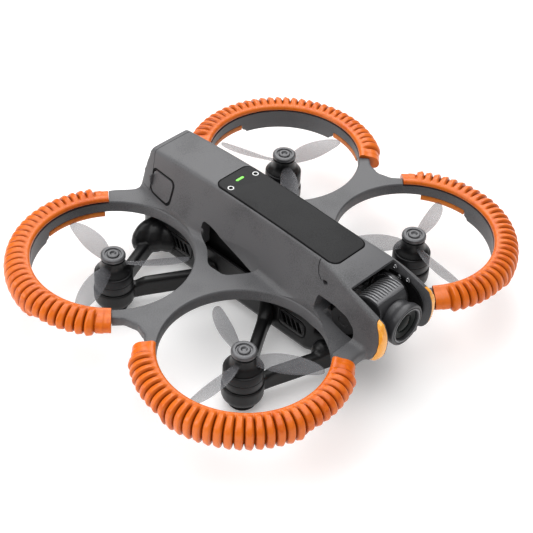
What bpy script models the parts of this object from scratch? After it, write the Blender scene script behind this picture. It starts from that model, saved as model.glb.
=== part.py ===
"""Ducted four-rotor racing drone.

Frame of the model: the origin is on the ground under the middle of the four motors, the nose points
along -Y, the drone's left is +X and up is +Z. Sizes are in metres; the tables of (y, value) rows that
shape the spine and the tub are in millimetres.
"""

import math

import bmesh
import bpy
from mathutils import Vector

MM = 0.001
GAP = 0.3 * MM  # clearance between two pieces that seat on each other

# Ducts
MOTOR_X = 60.5 * MM
MOTOR_Y = 45.5 * MM
DUCT_TOP = 34.5 * MM
DUCT_BORE = 40.0 * MM
DUCT_WALL = 5.5 * MM
DUCT_DEPTH = 6.5 * MM
DUCT_DEEP = 12.0 * MM  # depth of the wall round each outer corner
DEEP_CENTRE = 40.0  # degrees from outward X towards outward Y
DEEP_HALF = 38.0
DUCT_STEP = 9.0
BORE_STEPS = 60

# Bumpers
BUMPER_START = -48.0
BUMPER_END = 128.0
BUMPER_SEAT = 3.0 * MM  # thickness of the duct wall that a bumper clips over
BUMPER_RISE = 2.4 * MM
BUMPER_LIP = 3.6 * MM  # thickness of the lip over the duct
BUMPER_WIDTH = 12.7 * MM
BUMPER_DEPTH = 7.7 * MM
BUMPER_DEEP = 11.6 * MM
FLAP_THICKNESS = 1.6 * MM
FLAP_REACH = 3.0 * MM
FLAP_ARC = 34.0

# Spine of the upper frame
DECK = ((77, 59.9), (69, 61.2), (40, 63.2), (15, 64.0), (-20, 63.4), (-54, 61.7), (-68, 58.9),
        (-80, 55.5), (-93, 50.6))
DECK_HALF = ((77, 12.6), (60, 12.8), (-40, 12.8), (-54, 14.4), (-68, 17.0), (-80, 18.2), (-93, 18.8))
SKIRT_HALF = ((77, 14.5), (70, 17), (60, 20), (45, 22), (28, 22), (10, 19.5), (-13, 18), (-30, 20.5),
              (-45, 22), (-58, 21), (-68, 20.4), (-80, 20), (-93, 19.6))
SPINE_REAR = 77.0 * MM
DECK_FRONT = -67.5 * MM
SPINE_FLOOR = DUCT_TOP - DUCT_DEPTH - 0.2 * MM
SPINE_STATIONS = 15
FLARE_POWER = 1.5
FLARE_STEPS = 5
SHOULDER = 1.8 * MM
REAR_LEAN = 15.6

# Waist webs and their windows
WEB_THICKNESS = 5.0 * MM
WAIST_OUTER = 84.0 * MM
WAIST_INNER = 77.0 * MM
WINDOW = ((20.6, 20.6), (31.8, 8.4), (31.4, -2.6), (17.6, -11.0))
WINDOW_CORNER = 2.2 * MM

# Nose cheeks, as (y, z) rows of their side view
CHEEK_REAR = -46.0 * MM
CHEEK_TIP = -93.0 * MM
CHEEK_FLOOR = 22.0 * MM
CHEEK_STATIONS = 9
CHEEK_INNER = 15.0 * MM
CHEEK = ((-46, 68), (-80, 62), (-86, 55.5), (-89.4, 51.6), (-91.6, 47.4), (-92.4, 43), (-92.2, 38),
         (-91.2, 33), (-88.8, 29.4), (-84, 27.2), (-76, 24.6), (-66, 23.2), (-56, 25), (-46, 30))
CHEEK_WINDOW = ((-50.6, 45.4), (-61, 45.6), (-69.5, 44.4), (-74.6, 40.8), (-75.8, 36), (-73.4, 31.4),
                (-68, 31.6), (-58, 34.6), (-50.2, 38.2))
LAMP_BACK = ((-84.4, 55.6), (-87.2, 51.6), (-89.2, 46.8), (-90, 42), (-89.6, 36.6), (-88, 31.8),
             (-85.2, 27.4))
LAMP_FRONT = -98.0 * MM

# Cavities of the upper frame
BATTERY_BAY_HALF = 10.9 * MM
BATTERY_BAY_FRONT = -26.0 * MM
BATTERY_BAY_FLOOR = 33.2 * MM
BATTERY_BAY_ROOF = 59.0 * MM
BULKHEAD = 2.0 * MM
TRAY_BAY_HALF = 13.4 * MM
TRAY_BAY_REAR = 66.0 * MM
TRAY_BAY_FRONT = -49.0 * MM
TRAY_THICKNESS = 2.4 * MM
GIMBAL_BAY_HALF = 13.2 * MM
GIMBAL_BAY_REAR = -53.5 * MM
GIMBAL_BAY_ROOF = 57.2 * MM

# Battery, its end cap, clips and button
CAP_SEAM = 67.2 * MM
CAP_FLOOR = 38.0 * MM
CAP_STATIONS = 5
CLIP_FRONT = 50.7 * MM
CLIP_LOW = 38.6 * MM
CLIP_HIGH = 50.9 * MM
CLIP_MARGIN = 0.5 * MM
CLIP_CORNER = 2.6 * MM
CLIP_INNER = 12.2 * MM
BUTTON_RADIUS = 4.2 * MM
BUTTON_Z = 50.5 * MM
BUTTON_DEPTH = 2.0 * MM
BUTTON_PROUD = 0.4 * MM
BUTTON_TRAVEL = 0.6 * MM
LEVEL_Z = 42.6 * MM
LEVEL_HALF_LENGTH = 5.0 * MM
LEVEL_HALF_HEIGHT = 0.8 * MM

# Top panel and its inlays
PANEL_REAR = 25.0 * MM
PANEL_FRONT = -53.9 * MM
PANEL_HALF = 11.3 * MM
PANEL_CORNER = 4.0 * MM
PANEL_THICKNESS = 1.4 * MM
PANEL_SUNK = 0.1 * MM
INLAY_DEPTH = 0.8 * MM
INLAY_GAP = 0.12 * MM
RING_Y = 17.3 * MM
RING_X = 8.5 * MM
RING_RADIUS = 1.6 * MM
RING_HOLE = 0.7 * MM
LIGHT_Y = 19.6 * MM
LIGHT_HALF_LENGTH = 2.6 * MM
LIGHT_RADIUS = 0.75 * MM

# Lower chassis, a tub that hangs under the spine
TUB_HALF = ((78, 8.0), (76, 12.5), (71, 16.5), (66, 18), (30, 18), (-30, 18), (-47, 18), (-54, 14.5),
            (-66, 13.6), (-73, 9.0))
TUB_LOW = ((78, 13.0), (76, 8.5), (70, 4.6), (60, 3.5), (-50, 3.5), (-62, 6.0), (-70, 10.0), (-73, 13.5))
TUB_TOP = SPINE_FLOOR - GAP
TUB_REAR = 78.0 * MM
TUB_FRONT = -73.0 * MM
TUB_STATIONS = 22
TUB_CORNER = 4.0 * MM
TUB_INNER_HALF = 16.0 * MM
TUB_INNER_REAR = 62.0 * MM
TUB_INNER_FRONT = -45.0 * MM
TUB_NOSE_TOP = 18.5 * MM
LEDGE_WIDTH = 3.5 * MM
LEDGE_TOP = 12.1 * MM
TUB_FLOOR = 6.0 * MM
BOARD_THICKNESS = 1.6 * MM
SINK_HALF_WIDTH = 11.0 * MM
SINK_REAR = 30.0 * MM
SINK_FRONT = -20.0 * MM
SINK_HEIGHT = 7.0 * MM
SINK_BASE = 2.0 * MM
SINK_SLOTS = 5
HATCH_HALF = 10.5 * MM
HATCH_REAR = 50.0 * MM
HATCH_FRONT = -34.0 * MM
HATCH_SUNK = 0.2 * MM
BELLY_LENS_RADIUS = 2.6 * MM
BELLY_LENS_Y = 38.0 * MM

# Side vents
VENT_CENTRES = {"front": -36.0 * MM, "rear": 43.0 * MM}
VENT_Z = 16.8 * MM
VENT_HALF_LENGTH = 8.6 * MM
VENT_HALF_HEIGHT = 4.6 * MM
VENT_CORNER = 2.4 * MM
VENT_THICKNESS = 0.8 * MM
VENT_MARGIN = 1.6 * MM
VENT_SLOTS = 4
VENT_SLOT_HALF = 1.2 * MM
VENT_SLANT = 1.4 * MM

# Motor arms and feet
PAD_RADIUS = 10.3 * MM
PAD_BOTTOM = 4.0 * MM
PAD_TOP = 13.8 * MM
ARM_WIDTH = 5.6 * MM
ARM_TOP = 15.6 * MM
ARM_BOTTOM = 5.2 * MM
ROOT_TOP = 21.5 * MM
ROOT_BOTTOM = 7.5 * MM
ROOT_WIDTH = 9.5 * MM
ARM_END_OUTER = 62.0 * MM
ARM_END_INNER = 19.5 * MM
NARROW_TUB_HALF = 15.0 * MM
FOOT_RADIUS = 7.0 * MM

# Motors and propellers
BELL_RADIUS = 9.7 * MM
BELL_WALL = 1.1 * MM
BELL_TOP = 23.9 * MM
SHAFT_RADIUS = 1.0 * MM
SHAFT_BOTTOM = 8.8 * MM
SHAFT_BORE = 1.4 * MM
AIR_GAP = 0.7 * MM  # between the coils and the bell
STATOR_RADIUS = BELL_RADIUS - BELL_WALL - AIR_GAP
HUB_RADIUS = 5.9 * MM
HUB_TOP = 31.4 * MM
HUB_CLEARANCE = 0.12 * MM
CAP_RADIUS = 6.2 * MM
CAP_TOP = 34.7 * MM
PROP_CLEARANCE = 2.0 * MM
PROP_BLADES = 3
BLADE_Z = 27.9 * MM
BLADE_THICKNESS = 1.1 * MM
BLADE = ((0.13, 6.0, 28), (0.30, 11.5, 26), (0.50, 13.0, 21), (0.74, 11.0, 16), (0.92, 8.0, 12),
         (1.0, 4.0, 10))  # share of the radius, chord in millimetres, pitch in degrees
BLADE_TURN = {"front_left": 14, "front_right": 10, "rear_left": -6, "rear_right": 18}

# Gimbal camera
TILT_Y = -71.0 * MM
TILT_Z = 43.0 * MM
HOUSING_HALF = 8.9 * MM
HOUSING_RADIUS = 12.2 * MM
HOUSING_FRONT = -82.6 * MM
HOUSING_BEVEL = 1.2 * MM
COOLER_RADIUS = 13.6 * MM
COOLER_START = 42.0  # degrees above the lens axis
COOLER_END = 150.0
COOLER_SLOTS = 9
COOLER_SLOT = 0.9 * MM
COOLER_SKIN = 0.5 * MM
BARREL_REAR_RADIUS = 9.4 * MM
BARREL_RADIUS = 10.5 * MM
BARREL_FRONT = -90.9 * MM
GLASS_RADIUS = 7.3 * MM
GLASS_THICKNESS = 1.6 * MM
TILT_MOTOR_RADIUS = 10.2 * MM
TILT_MOTOR_THICKNESS = 2.3 * MM
EAR_THICKNESS = 1.1 * MM
MOUNT_HALF = 11.4 * MM
MOUNT_LOW = 33.5 * MM
MOUNT_HIGH = 53.0 * MM

CORNERS = {
    "front_left": (1, -1),
    "front_right": (-1, -1),
    "rear_left": (1, 1),
    "rear_right": (-1, 1),
}
SIDES = {"left": 1, "right": -1}


# ---------------------------------------------------------------- helpers


def clear_scene():
    for obj in list(bpy.data.objects):
        bpy.data.objects.remove(obj, do_unlink=True)


def linear(value):
    return value / 12.92 if value <= 0.04045 else ((value + 0.055) / 1.055) ** 2.4


def material(name, colour, roughness, metallic=0.0):
    """A Principled material; colour is an sRGB hex value."""
    made = bpy.data.materials.new(name)
    made.use_nodes = True
    shader = made.node_tree.nodes["Principled BSDF"]
    rgb = [linear(int(colour[i : i + 2], 16) / 255) for i in (0, 2, 4)]
    shader.inputs["Base Color"].default_value = (*rgb, 1.0)
    shader.inputs["Roughness"].default_value = roughness
    shader.inputs["Metallic"].default_value = metallic
    return made


def smooth_value(table, y):
    """Value at y on a smooth curve through (y, value) rows in millimetres, which never overshoots."""
    rows = sorted(table)
    rises = [(v1 - v0) / (y1 - y0) for (y0, v0), (y1, v1) in zip(rows, rows[1:])]
    slopes = [0.0] * len(rows)
    for i, (one, other) in enumerate(zip(rises, rises[1:])):
        if one * other > 0:
            slopes[i + 1] = 2 * one * other / (one + other)
    slopes[0], slopes[-1] = rises[0], rises[-1]
    at = min(max(y / MM, rows[0][0]), rows[-1][0])
    index = max(i for i, row in enumerate(rows[:-1]) if row[0] <= at)
    (y0, v0), (y1, v1) = rows[index], rows[index + 1]
    span = y1 - y0
    t = (at - y0) / span
    value = v0 + (v1 - v0) * (3 * t**2 - 2 * t**3)
    value += (t**3 - 2 * t**2 + t) * span * slopes[index]
    value += (t**3 - t**2) * span * slopes[index + 1]
    return value * MM


def in_metres(rows):
    return [(u * MM, v * MM) for u, v in rows]


def add_object(name, shape, look=None):
    bmesh.ops.recalc_face_normals(shape, faces=shape.faces)
    bmesh.ops.triangulate(shape, faces=shape.faces)  # twisted quads would spoil the Booleans
    mesh = bpy.data.meshes.new(name)
    shape.to_mesh(mesh)
    shape.free()
    obj = bpy.data.objects.new(name, mesh)
    bpy.context.scene.collection.objects.link(obj)
    if look:
        mesh.materials.append(look)
    return obj


def combine(target, shape, operation):
    """Applies one Boolean of the target with a shape."""
    other = add_object("tool", shape)
    modifier = target.modifiers.new("tool", "BOOLEAN")
    modifier.operation = operation
    modifier.solver = "EXACT"
    modifier.object = other
    graph = bpy.context.evaluated_depsgraph_get()
    result = bpy.data.meshes.new_from_object(target.evaluated_get(graph))
    target.modifiers.remove(modifier)
    replaced = target.data
    target.data = result
    bpy.data.meshes.remove(replaced)
    result.name = target.name
    bpy.data.objects.remove(other, do_unlink=True)


def shape_of(obj):
    """Takes an object's shape and removes the object."""
    shape = bmesh.new()
    shape.from_mesh(obj.data)
    bpy.data.objects.remove(obj, do_unlink=True)
    return shape


def cut(target, *shapes):
    for shape in shapes:
        combine(target, shape, "DIFFERENCE")


def join(target, *shapes):
    for shape in shapes:
        combine(target, shape, "UNION")


def smooth(obj, degrees=35):
    obj.data.shade_smooth()
    obj.data.set_sharp_from_angle(angle=math.radians(degrees))


def hang(name, location, pieces, parent=None):
    """Puts the pieces under an empty on their joint's axis, without moving them."""
    empty = bpy.data.objects.new(name, None)
    bpy.context.scene.collection.objects.link(empty)
    if parent:
        empty.parent = parent
        empty.location = Vector(location) - parent.location
    else:
        empty.location = location
    for piece in pieces:
        for vertex in piece.data.vertices:
            vertex.co -= Vector(location)
        piece.parent = empty
    return empty


def loft(sections, ring=False):
    """Body through sections of equal point counts, closed into a ring or capped at both ends."""
    made = bmesh.new()
    rows = [[made.verts.new(point) for point in section] for section in sections]
    following = rows[1:] + rows[:1] if ring else rows[1:]
    for first, second in zip(rows, following):
        for i in range(len(first)):
            j = (i + 1) % len(first)
            made.faces.new((first[i], first[j], second[j], second[i]))
    if not ring:
        made.faces.new(rows[0])
        made.faces.new(rows[-1])
    return made


def upright(u, v, w):
    return (u, v, w)


def sideways(u, v, w):
    """Places a side view, given as (y, z), at x=w."""
    return (w, u, v)


def prism(outline, low, high, place=upright):
    """Outline of (u, v) points pulled from w=low to w=high."""
    return loft([[place(u, v, low) for u, v in outline], [place(u, v, high) for u, v in outline]])


def box(low, high):
    outline = ((low[0], low[1]), (high[0], low[1]), (high[0], high[1]), (low[0], high[1]))
    return prism(outline, low[2], high[2])


def side_prism(outline, side, inner, outer):
    """Side view pulled outwards on one side of the drone."""
    return prism(outline, side * inner, side * outer, sideways)


def circle(radius, steps, centre=(0, 0)):
    turn = 2 * math.pi / steps
    return [(centre[0] + radius * math.cos(i * turn), centre[1] + radius * math.sin(i * turn))
            for i in range(steps)]


def rounded(corners, radius, steps=4):
    """Outline whose corners are rounded."""
    points = []
    for i, corner in enumerate(corners):
        here = Vector(corner)
        before = (Vector(corners[i - 1]) - here).normalized()
        after = (Vector(corners[(i + 1) % len(corners)]) - here).normalized()
        half = before.angle(after) / 2
        centre = here + (before + after).normalized() * (radius / math.sin(half))
        start = (here + before * (radius / math.tan(half)) - centre).normalized()
        end = (here + after * (radius / math.tan(half)) - centre).normalized()
        for step in range(steps + 1):
            points.append(tuple(centre + start.slerp(end, step / steps) * radius))
    return points


def rounded_rectangle(half_u, half_v, radius, centre=(0, 0), steps=4):
    u, v = centre
    corners = ((u - half_u, v - half_v), (u + half_u, v - half_v),
               (u + half_u, v + half_v), (u - half_u, v + half_v))
    return rounded(corners, radius, steps)


def turned(profile, steps, place=upright):
    """Body from (radius, height) points turned about the vertical; a radius of 0 closes an end."""
    made = bmesh.new()
    rows = []
    for radius, height in profile:
        if radius == 0:
            rows.append([made.verts.new(place(0, 0, height))] * steps)
        else:
            rows.append([made.verts.new(place(x, y, height)) for x, y in circle(radius, steps)])
    following = rows[1:] + rows[:1] if profile[0][0] and profile[-1][0] else rows[1:]
    for first, second in zip(rows, following):
        for i in range(steps):
            j = (i + 1) % steps
            made.faces.new(dict.fromkeys((first[i], first[j], second[j], second[i])))
    return made


def at_motor(corner):
    """Places a shape drawn round the vertical over one motor."""
    return lambda u, v, w: (corner[0] * MOTOR_X + u, corner[1] * MOTOR_Y + v, w)


def beside_motor(corner, radius, degrees, z):
    """Point beside a motor, its angle counted from outward X towards outward Y."""
    angle = math.radians(degrees)
    x = corner[0] * (MOTOR_X + radius * math.cos(angle))
    y = corner[1] * (MOTOR_Y + radius * math.sin(angle))
    return (x, y, z)


def steps_between(start, end, step):
    count = max(2, round((end - start) / step))
    return [start + (end - start) * i / count for i in range(count + 1)]


# ---------------------------------------------------------------- upper frame


def spine_section(y, floor, lean=0.0):
    """Cross-section from the left skirt over the deck to the right skirt."""
    top = smooth_value(DECK, y)
    deck = smooth_value(DECK_HALF, y)
    foot = smooth_value(SKIRT_HALF, y)
    side = [(foot, floor)] if floor < DUCT_TOP else []
    low = max(floor, DUCT_TOP)
    high = top - SHOULDER
    for step in range(FLARE_STEPS + 1):
        z = low + (high - low) * step / FLARE_STEPS
        share = (top - z) / (top - DUCT_TOP)
        side.append((deck + (foot - deck) * share**FLARE_POWER, z))
    side.append((deck - SHOULDER * 0.25, top - SHOULDER * 0.3))
    side.append((deck - SHOULDER, top))
    whole = side + [(-x, z) for x, z in reversed(side)]
    return [(x, y - (z - DUCT_TOP) * math.tan(math.radians(lean)), z) for x, z in whole]


def spine(rear, front, floor, stations, lean=0.0):
    """Length of the spine; lean tips its rear face forwards at the top."""
    sections = []
    for i in range(stations):
        share = i / (stations - 1)
        sections.append(spine_section(rear + (front - rear) * share, floor, lean * (1 - share)))
    return loft(sections)


def duct(corner):
    """One duct, left tight inside until the bores are cut."""
    inner = DUCT_BORE - 1.5 * MM
    deep = (DEEP_CENTRE - DEEP_HALF, DEEP_CENTRE + DEEP_HALF)
    clipped = (BUMPER_START - 0.5, BUMPER_END + 0.5)
    stretches = (
        (clipped[0], deep[0], DUCT_DEPTH, True),
        (deep[0], deep[1], DUCT_DEEP, True),
        (deep[1], clipped[1], DUCT_DEPTH, True),
        (clipped[1], clipped[0] + 360, DUCT_DEPTH, False),
    )
    sections = []
    for start, end, depth, is_clipped in stretches:
        outer = DUCT_BORE + (BUMPER_SEAT if is_clipped else DUCT_WALL)
        top = DUCT_TOP + BUMPER_RISE - BUMPER_LIP - GAP if is_clipped else DUCT_TOP
        outline = ((inner, DUCT_TOP - depth), (inner, top), (outer, top), (outer, DUCT_TOP - depth))
        for angle in steps_between(start + 0.1, end - 0.1, DUCT_STEP):
            sections.append([beside_motor(corner, radius, angle, z) for radius, z in outline])
    return loft(sections, ring=True)


def waist_web(side):
    """Plate between a pair of ducts."""
    outline = ((WAIST_OUTER, 10 * MM), (WAIST_INNER, 0), (WAIST_OUTER, -10 * MM), (MOTOR_X, -14 * MM),
               (14 * MM, -32 * MM), (14 * MM, 32 * MM), (MOTOR_X, 14 * MM))
    outline = [(side * x, y) for x, y in outline]
    return prism(outline, DUCT_TOP - WEB_THICKNESS, DUCT_TOP)


def nose(name, look=None):
    """Both cheeks of the nose, still joined across the middle."""
    made = add_object(name, spine(CHEEK_REAR, CHEEK_TIP, CHEEK_FLOOR, CHEEK_STATIONS), look)
    combine(made, prism(in_metres(CHEEK), -30 * MM, 30 * MM, sideways), "INTERSECT")
    return made


def gimbal_bay():
    """Space between the cheeks, roofed by the deck at the back."""
    front = CHEEK_TIP - 5 * MM
    plan = ((GIMBAL_BAY_HALF, GIMBAL_BAY_REAR), (GIMBAL_BAY_HALF, DECK_FRONT + 4 * MM),
            (CHEEK_INNER, DECK_FRONT), (CHEEK_INNER + 0.8 * MM, front))
    plan = list(plan) + [(-x, y) for x, y in reversed(plan)]
    open_plan = [point for point in plan if point[1] <= DECK_FRONT]
    return [prism(plan, 10 * MM, GIMBAL_BAY_ROOF), prism(open_plan, 40 * MM, 80 * MM)]


def lamp_region(margin):
    """Side view of everything ahead of a nose lamp's back edge."""
    back = [(y + margin, z) for y, z in in_metres(LAMP_BACK)]
    return back + [(LAMP_FRONT, back[-1][1]), (LAMP_FRONT, back[0][1])]


def clip_outline(margin, rear):
    """Side view of a battery clip, enlarged by a margin and cut off at the rear."""
    half_y = (rear - CLIP_FRONT) / 2
    half_z = (CLIP_HIGH - CLIP_LOW) / 2
    centre = (CLIP_FRONT + half_y, CLIP_LOW + half_z)
    return rounded_rectangle(half_y + margin, half_z + margin, CLIP_CORNER, centre)


def panel_plate(margin, low, high):
    """Rounded plate that follows the deck between two offsets from it."""
    half = PANEL_HALF + margin
    radius = PANEL_CORNER + margin
    ends = []
    for angle in steps_between(0, 90, 22.5):
        turn = math.radians(angle)
        ends.append((half - radius + radius * math.sin(turn), radius - radius * math.cos(turn)))
    rear = [(width, PANEL_REAR + margin - inset) for width, inset in ends]
    front = [(width, PANEL_FRONT - margin + inset) for width, inset in reversed(ends)]
    middle = steps_between(front[0][1], rear[-1][1], 12 * MM)[1:-1]
    stations = rear + [(half, y) for y in reversed(middle)] + front
    sections = []
    for width, y in stations:
        deck = smooth_value(DECK, y)
        sections.append([(-width, y, deck + low), (width, y, deck + low),
                         (width, y, deck + high), (-width, y, deck + high)])
    return loft(sections)


def upper_frame(look):
    frame = add_object("upper_frame", spine(SPINE_REAR, DECK_FRONT, SPINE_FLOOR, SPINE_STATIONS), look)
    join(frame, shape_of(nose("nose")))
    for side in SIDES.values():
        join(frame, waist_web(side))
    for corner in CORNERS.values():
        join(frame, duct(corner))
    for corner in CORNERS.values():
        cut(frame, prism(circle(DUCT_BORE, BORE_STEPS, (corner[0] * MOTOR_X, corner[1] * MOTOR_Y)),
                         10 * MM, 80 * MM))
    cut(frame, box((-40 * MM, CAP_SEAM, CAP_FLOOR - GAP), (40 * MM, SPINE_REAR + 20 * MM, 80 * MM)))
    for side in SIDES.values():
        window = rounded([(side * x, y) for x, y in in_metres(WINDOW)], WINDOW_CORNER)
        cut(frame, prism(window, 20 * MM, DUCT_TOP + 9 * MM))
        cut(frame, side_prism(rounded(in_metres(CHEEK_WINDOW), 1.2 * MM, 2), side, 11 * MM, 40 * MM))
        cut(frame, side_prism(lamp_region(GAP), side, 11 * MM, 40 * MM))
        cut(frame, side_prism(clip_outline(CLIP_MARGIN, CAP_SEAM + 8 * MM), side, 10 * MM, 40 * MM))
    cut(frame, *gimbal_bay())
    cut(
        frame,
        box((-BATTERY_BAY_HALF, BATTERY_BAY_FRONT, BATTERY_BAY_FLOOR),
            (BATTERY_BAY_HALF, SPINE_REAR + 20 * MM, BATTERY_BAY_ROOF)),
        box((-BATTERY_BAY_HALF, GIMBAL_BAY_REAR + BULKHEAD, 10 * MM),
            (BATTERY_BAY_HALF, BATTERY_BAY_FRONT - BULKHEAD, BATTERY_BAY_ROOF)),
        box((-TRAY_BAY_HALF, TRAY_BAY_FRONT, 10 * MM),
            (TRAY_BAY_HALF, TRAY_BAY_REAR, BATTERY_BAY_FLOOR)),
        panel_plate(GAP, -PANEL_THICKNESS - PANEL_SUNK - GAP, 5 * MM),
    )
    smooth(frame, 30)
    return frame


def nose_lamp(name, side, look):
    lamp = nose(name, look)
    combine(lamp, side_prism(lamp_region(0), side, CHEEK_INNER + 0.6 * MM, 40 * MM), "INTERSECT")
    smooth(lamp)
    return lamp


# ---------------------------------------------------------------- top panel


def inlay_shape(radius, centre, hole=0.0):
    """Round inlay in the panel, or the pocket for one."""
    top = smooth_value(DECK, centre[1]) - PANEL_SUNK
    profile = [(hole, top - INLAY_DEPTH), (radius, top - INLAY_DEPTH), (radius, top), (hole, top)]
    return turned(profile, 20, lambda u, v, w: (centre[0] + u, centre[1] + v, w))


def light_outline(margin):
    radius = LIGHT_RADIUS + margin
    return rounded_rectangle(LIGHT_HALF_LENGTH + margin, radius, radius * 0.98, (0, LIGHT_Y), 5)


def top_panel(look):
    panel = add_object("top_panel", panel_plate(0, -PANEL_THICKNESS - PANEL_SUNK, -PANEL_SUNK), look)
    for side in SIDES.values():
        centre = (side * RING_X, RING_Y)
        floor = smooth_value(DECK, RING_Y) - PANEL_SUNK - INLAY_DEPTH - INLAY_GAP
        cut(panel, prism(circle(RING_RADIUS + INLAY_GAP, 20, centre), floor, floor + 9 * MM))
    floor = smooth_value(DECK, LIGHT_Y) - PANEL_SUNK - INLAY_DEPTH - INLAY_GAP
    cut(panel, prism(light_outline(INLAY_GAP), floor, floor + 9 * MM))
    smooth(panel)
    return panel


def panel_ring(name, side, look):
    ring = add_object(name, inlay_shape(RING_RADIUS, (side * RING_X, RING_Y), RING_HOLE), look)
    smooth(ring)
    return ring


def status_light(look):
    top = smooth_value(DECK, LIGHT_Y) - PANEL_SUNK
    light = add_object("status_light", prism(light_outline(0), top - INLAY_DEPTH, top), look)
    smooth(light)
    return light


# ---------------------------------------------------------------- bumpers


def bumper(name, corner, look):
    """Ribbed soft guard clipped over the outer half of a duct."""
    seat = DUCT_BORE + BUMPER_SEAT + GAP
    outer = DUCT_BORE + BUMPER_WIDTH
    top = DUCT_TOP + BUMPER_RISE
    lip = top - BUMPER_LIP
    deep = (DEEP_CENTRE - DEEP_HALF - 2, DEEP_CENTRE + DEEP_HALF + 2)
    stretches = (
        (BUMPER_START, deep[0], BUMPER_DEPTH),
        (deep[0], deep[1], BUMPER_DEEP),
        (deep[1], BUMPER_END, BUMPER_DEPTH),
    )
    sections = []
    for start, end, depth in stretches:
        bottom = DUCT_TOP - depth
        outline = ((DUCT_BORE, lip), (DUCT_BORE, top - 1.2 * MM), (DUCT_BORE + 2 * MM, top),
                   (outer - 4 * MM, top - 0.4 * MM), (outer - 0.8 * MM, top - 3.4 * MM),
                   (outer, top - 6 * MM), (outer - 1.2 * MM, bottom + 1.8 * MM),
                   (outer - 4 * MM, bottom), (seat, bottom), (seat, lip))
        for angle in steps_between(start + 0.2, end - 0.2, DUCT_STEP):
            sections.append([beside_motor(corner, radius, angle, z) for radius, z in outline])
    guard = add_object(name, loft(sections), look)
    flap_top = DUCT_TOP - DUCT_DEPTH - GAP
    flap = ((DUCT_BORE + 0.4 * MM, flap_top - FLAP_THICKNESS), (DUCT_BORE + 0.4 * MM, flap_top),
            (seat + FLAP_REACH, flap_top), (seat + FLAP_REACH, flap_top - FLAP_THICKNESS))
    for start in (deep[0] - FLAP_ARC, deep[1] + 0.4):
        angles = steps_between(start, start + FLAP_ARC - 0.4, DUCT_STEP)
        join(guard, loft([[beside_motor(corner, radius, angle, z) for radius, z in flap]
                          for angle in angles]))
    smooth(guard)
    return guard


# ---------------------------------------------------------------- lower chassis


def tub_section(y):
    half = smooth_value(TUB_HALF, y)
    low = smooth_value(TUB_LOW, y)
    chamfer = TUB_CORNER * 0.3
    side = [(half - TUB_CORNER, low), (half - chamfer, low + chamfer), (half, low + TUB_CORNER),
            (half, TUB_TOP)]
    return [(x, y, z) for x, z in side + [(-x, z) for x, z in reversed(side)]]


def vent_outline(centre, margin):
    return rounded_rectangle(VENT_HALF_LENGTH + margin, VENT_HALF_HEIGHT + margin,
                             VENT_CORNER + margin, (centre, VENT_Z), 3)


def hatch_outline(margin):
    middle = (HATCH_REAR + HATCH_FRONT) / 2
    return rounded_rectangle(HATCH_HALF + margin, (HATCH_REAR - HATCH_FRONT) / 2 + margin,
                             3 * MM, (0, middle), 3)


def tub_half(y):
    return smooth_value(TUB_HALF, y)


def lower_chassis(look):
    sections = []
    for i in range(TUB_STATIONS):
        turn = math.pi * i / (TUB_STATIONS - 1)
        middle = (TUB_REAR + TUB_FRONT) / 2
        sections.append(tub_section(middle + (TUB_REAR - TUB_FRONT) / 2 * math.cos(turn)))
    tub = add_object("lower_chassis", loft(sections), look)
    ledge_half = TUB_INNER_HALF - LEDGE_WIDTH
    cut(
        tub,
        box((-30 * MM, TUB_FRONT - 5 * MM, TUB_NOSE_TOP), (30 * MM, GIMBAL_BAY_REAR + 4 * MM, 50 * MM)),
        box((-TUB_INNER_HALF, TUB_INNER_FRONT, LEDGE_TOP), (TUB_INNER_HALF, TUB_INNER_REAR, 50 * MM)),
        box((-ledge_half, TUB_INNER_FRONT + LEDGE_WIDTH, TUB_FLOOR),
            (ledge_half, TUB_INNER_REAR - LEDGE_WIDTH, 50 * MM)),
        prism(hatch_outline(GAP), 0, TUB_FLOOR + MM),
    )
    for side in SIDES.values():
        for centre in VENT_CENTRES.values():
            surface = tub_half(centre)
            cut(
                tub,
                side_prism(vent_outline(centre, GAP), side, surface - VENT_THICKNESS - GAP,
                           surface + 5 * MM),
                side_prism(vent_outline(centre, -VENT_MARGIN), side, TUB_INNER_HALF - 4 * MM,
                           surface),
            )
    smooth(tub)
    return tub


def side_vent(name, side, centre, look):
    surface = tub_half(centre)
    plate = side_prism(vent_outline(centre, 0), side, surface - VENT_THICKNESS, surface)
    vent = add_object(name, plate, look)
    pitch = 2 * (VENT_HALF_LENGTH - VENT_MARGIN) / VENT_SLOTS
    height = VENT_HALF_HEIGHT - VENT_MARGIN
    for i in range(VENT_SLOTS):
        y = centre + (i - (VENT_SLOTS - 1) / 2) * pitch * 0.94
        slot = ((y - VENT_SLOT_HALF - VENT_SLANT, VENT_Z - height),
                (y + VENT_SLOT_HALF - VENT_SLANT, VENT_Z - height),
                (y + VENT_SLOT_HALF + VENT_SLANT, VENT_Z + height),
                (y - VENT_SLOT_HALF + VENT_SLANT, VENT_Z + height))
        cut(vent, side_prism(slot, side, surface - 5 * MM, surface + 5 * MM))
    return vent


def belly_hatch(look):
    low = smooth_value(TUB_LOW, 0) + HATCH_SUNK
    hatch = add_object("belly_hatch", prism(hatch_outline(0), low, TUB_FLOOR), look)
    cut(hatch, prism(circle(BELLY_LENS_RADIUS + GAP, 24, (0, BELLY_LENS_Y)), 0, 20 * MM))
    return hatch


def belly_lens(look):
    low = smooth_value(TUB_LOW, 0) + HATCH_SUNK
    lens = add_object("belly_lens", prism(circle(BELLY_LENS_RADIUS, 24, (0, BELLY_LENS_Y)),
                                          low + HATCH_SUNK, TUB_FLOOR), look)
    smooth(lens)
    return lens


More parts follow.
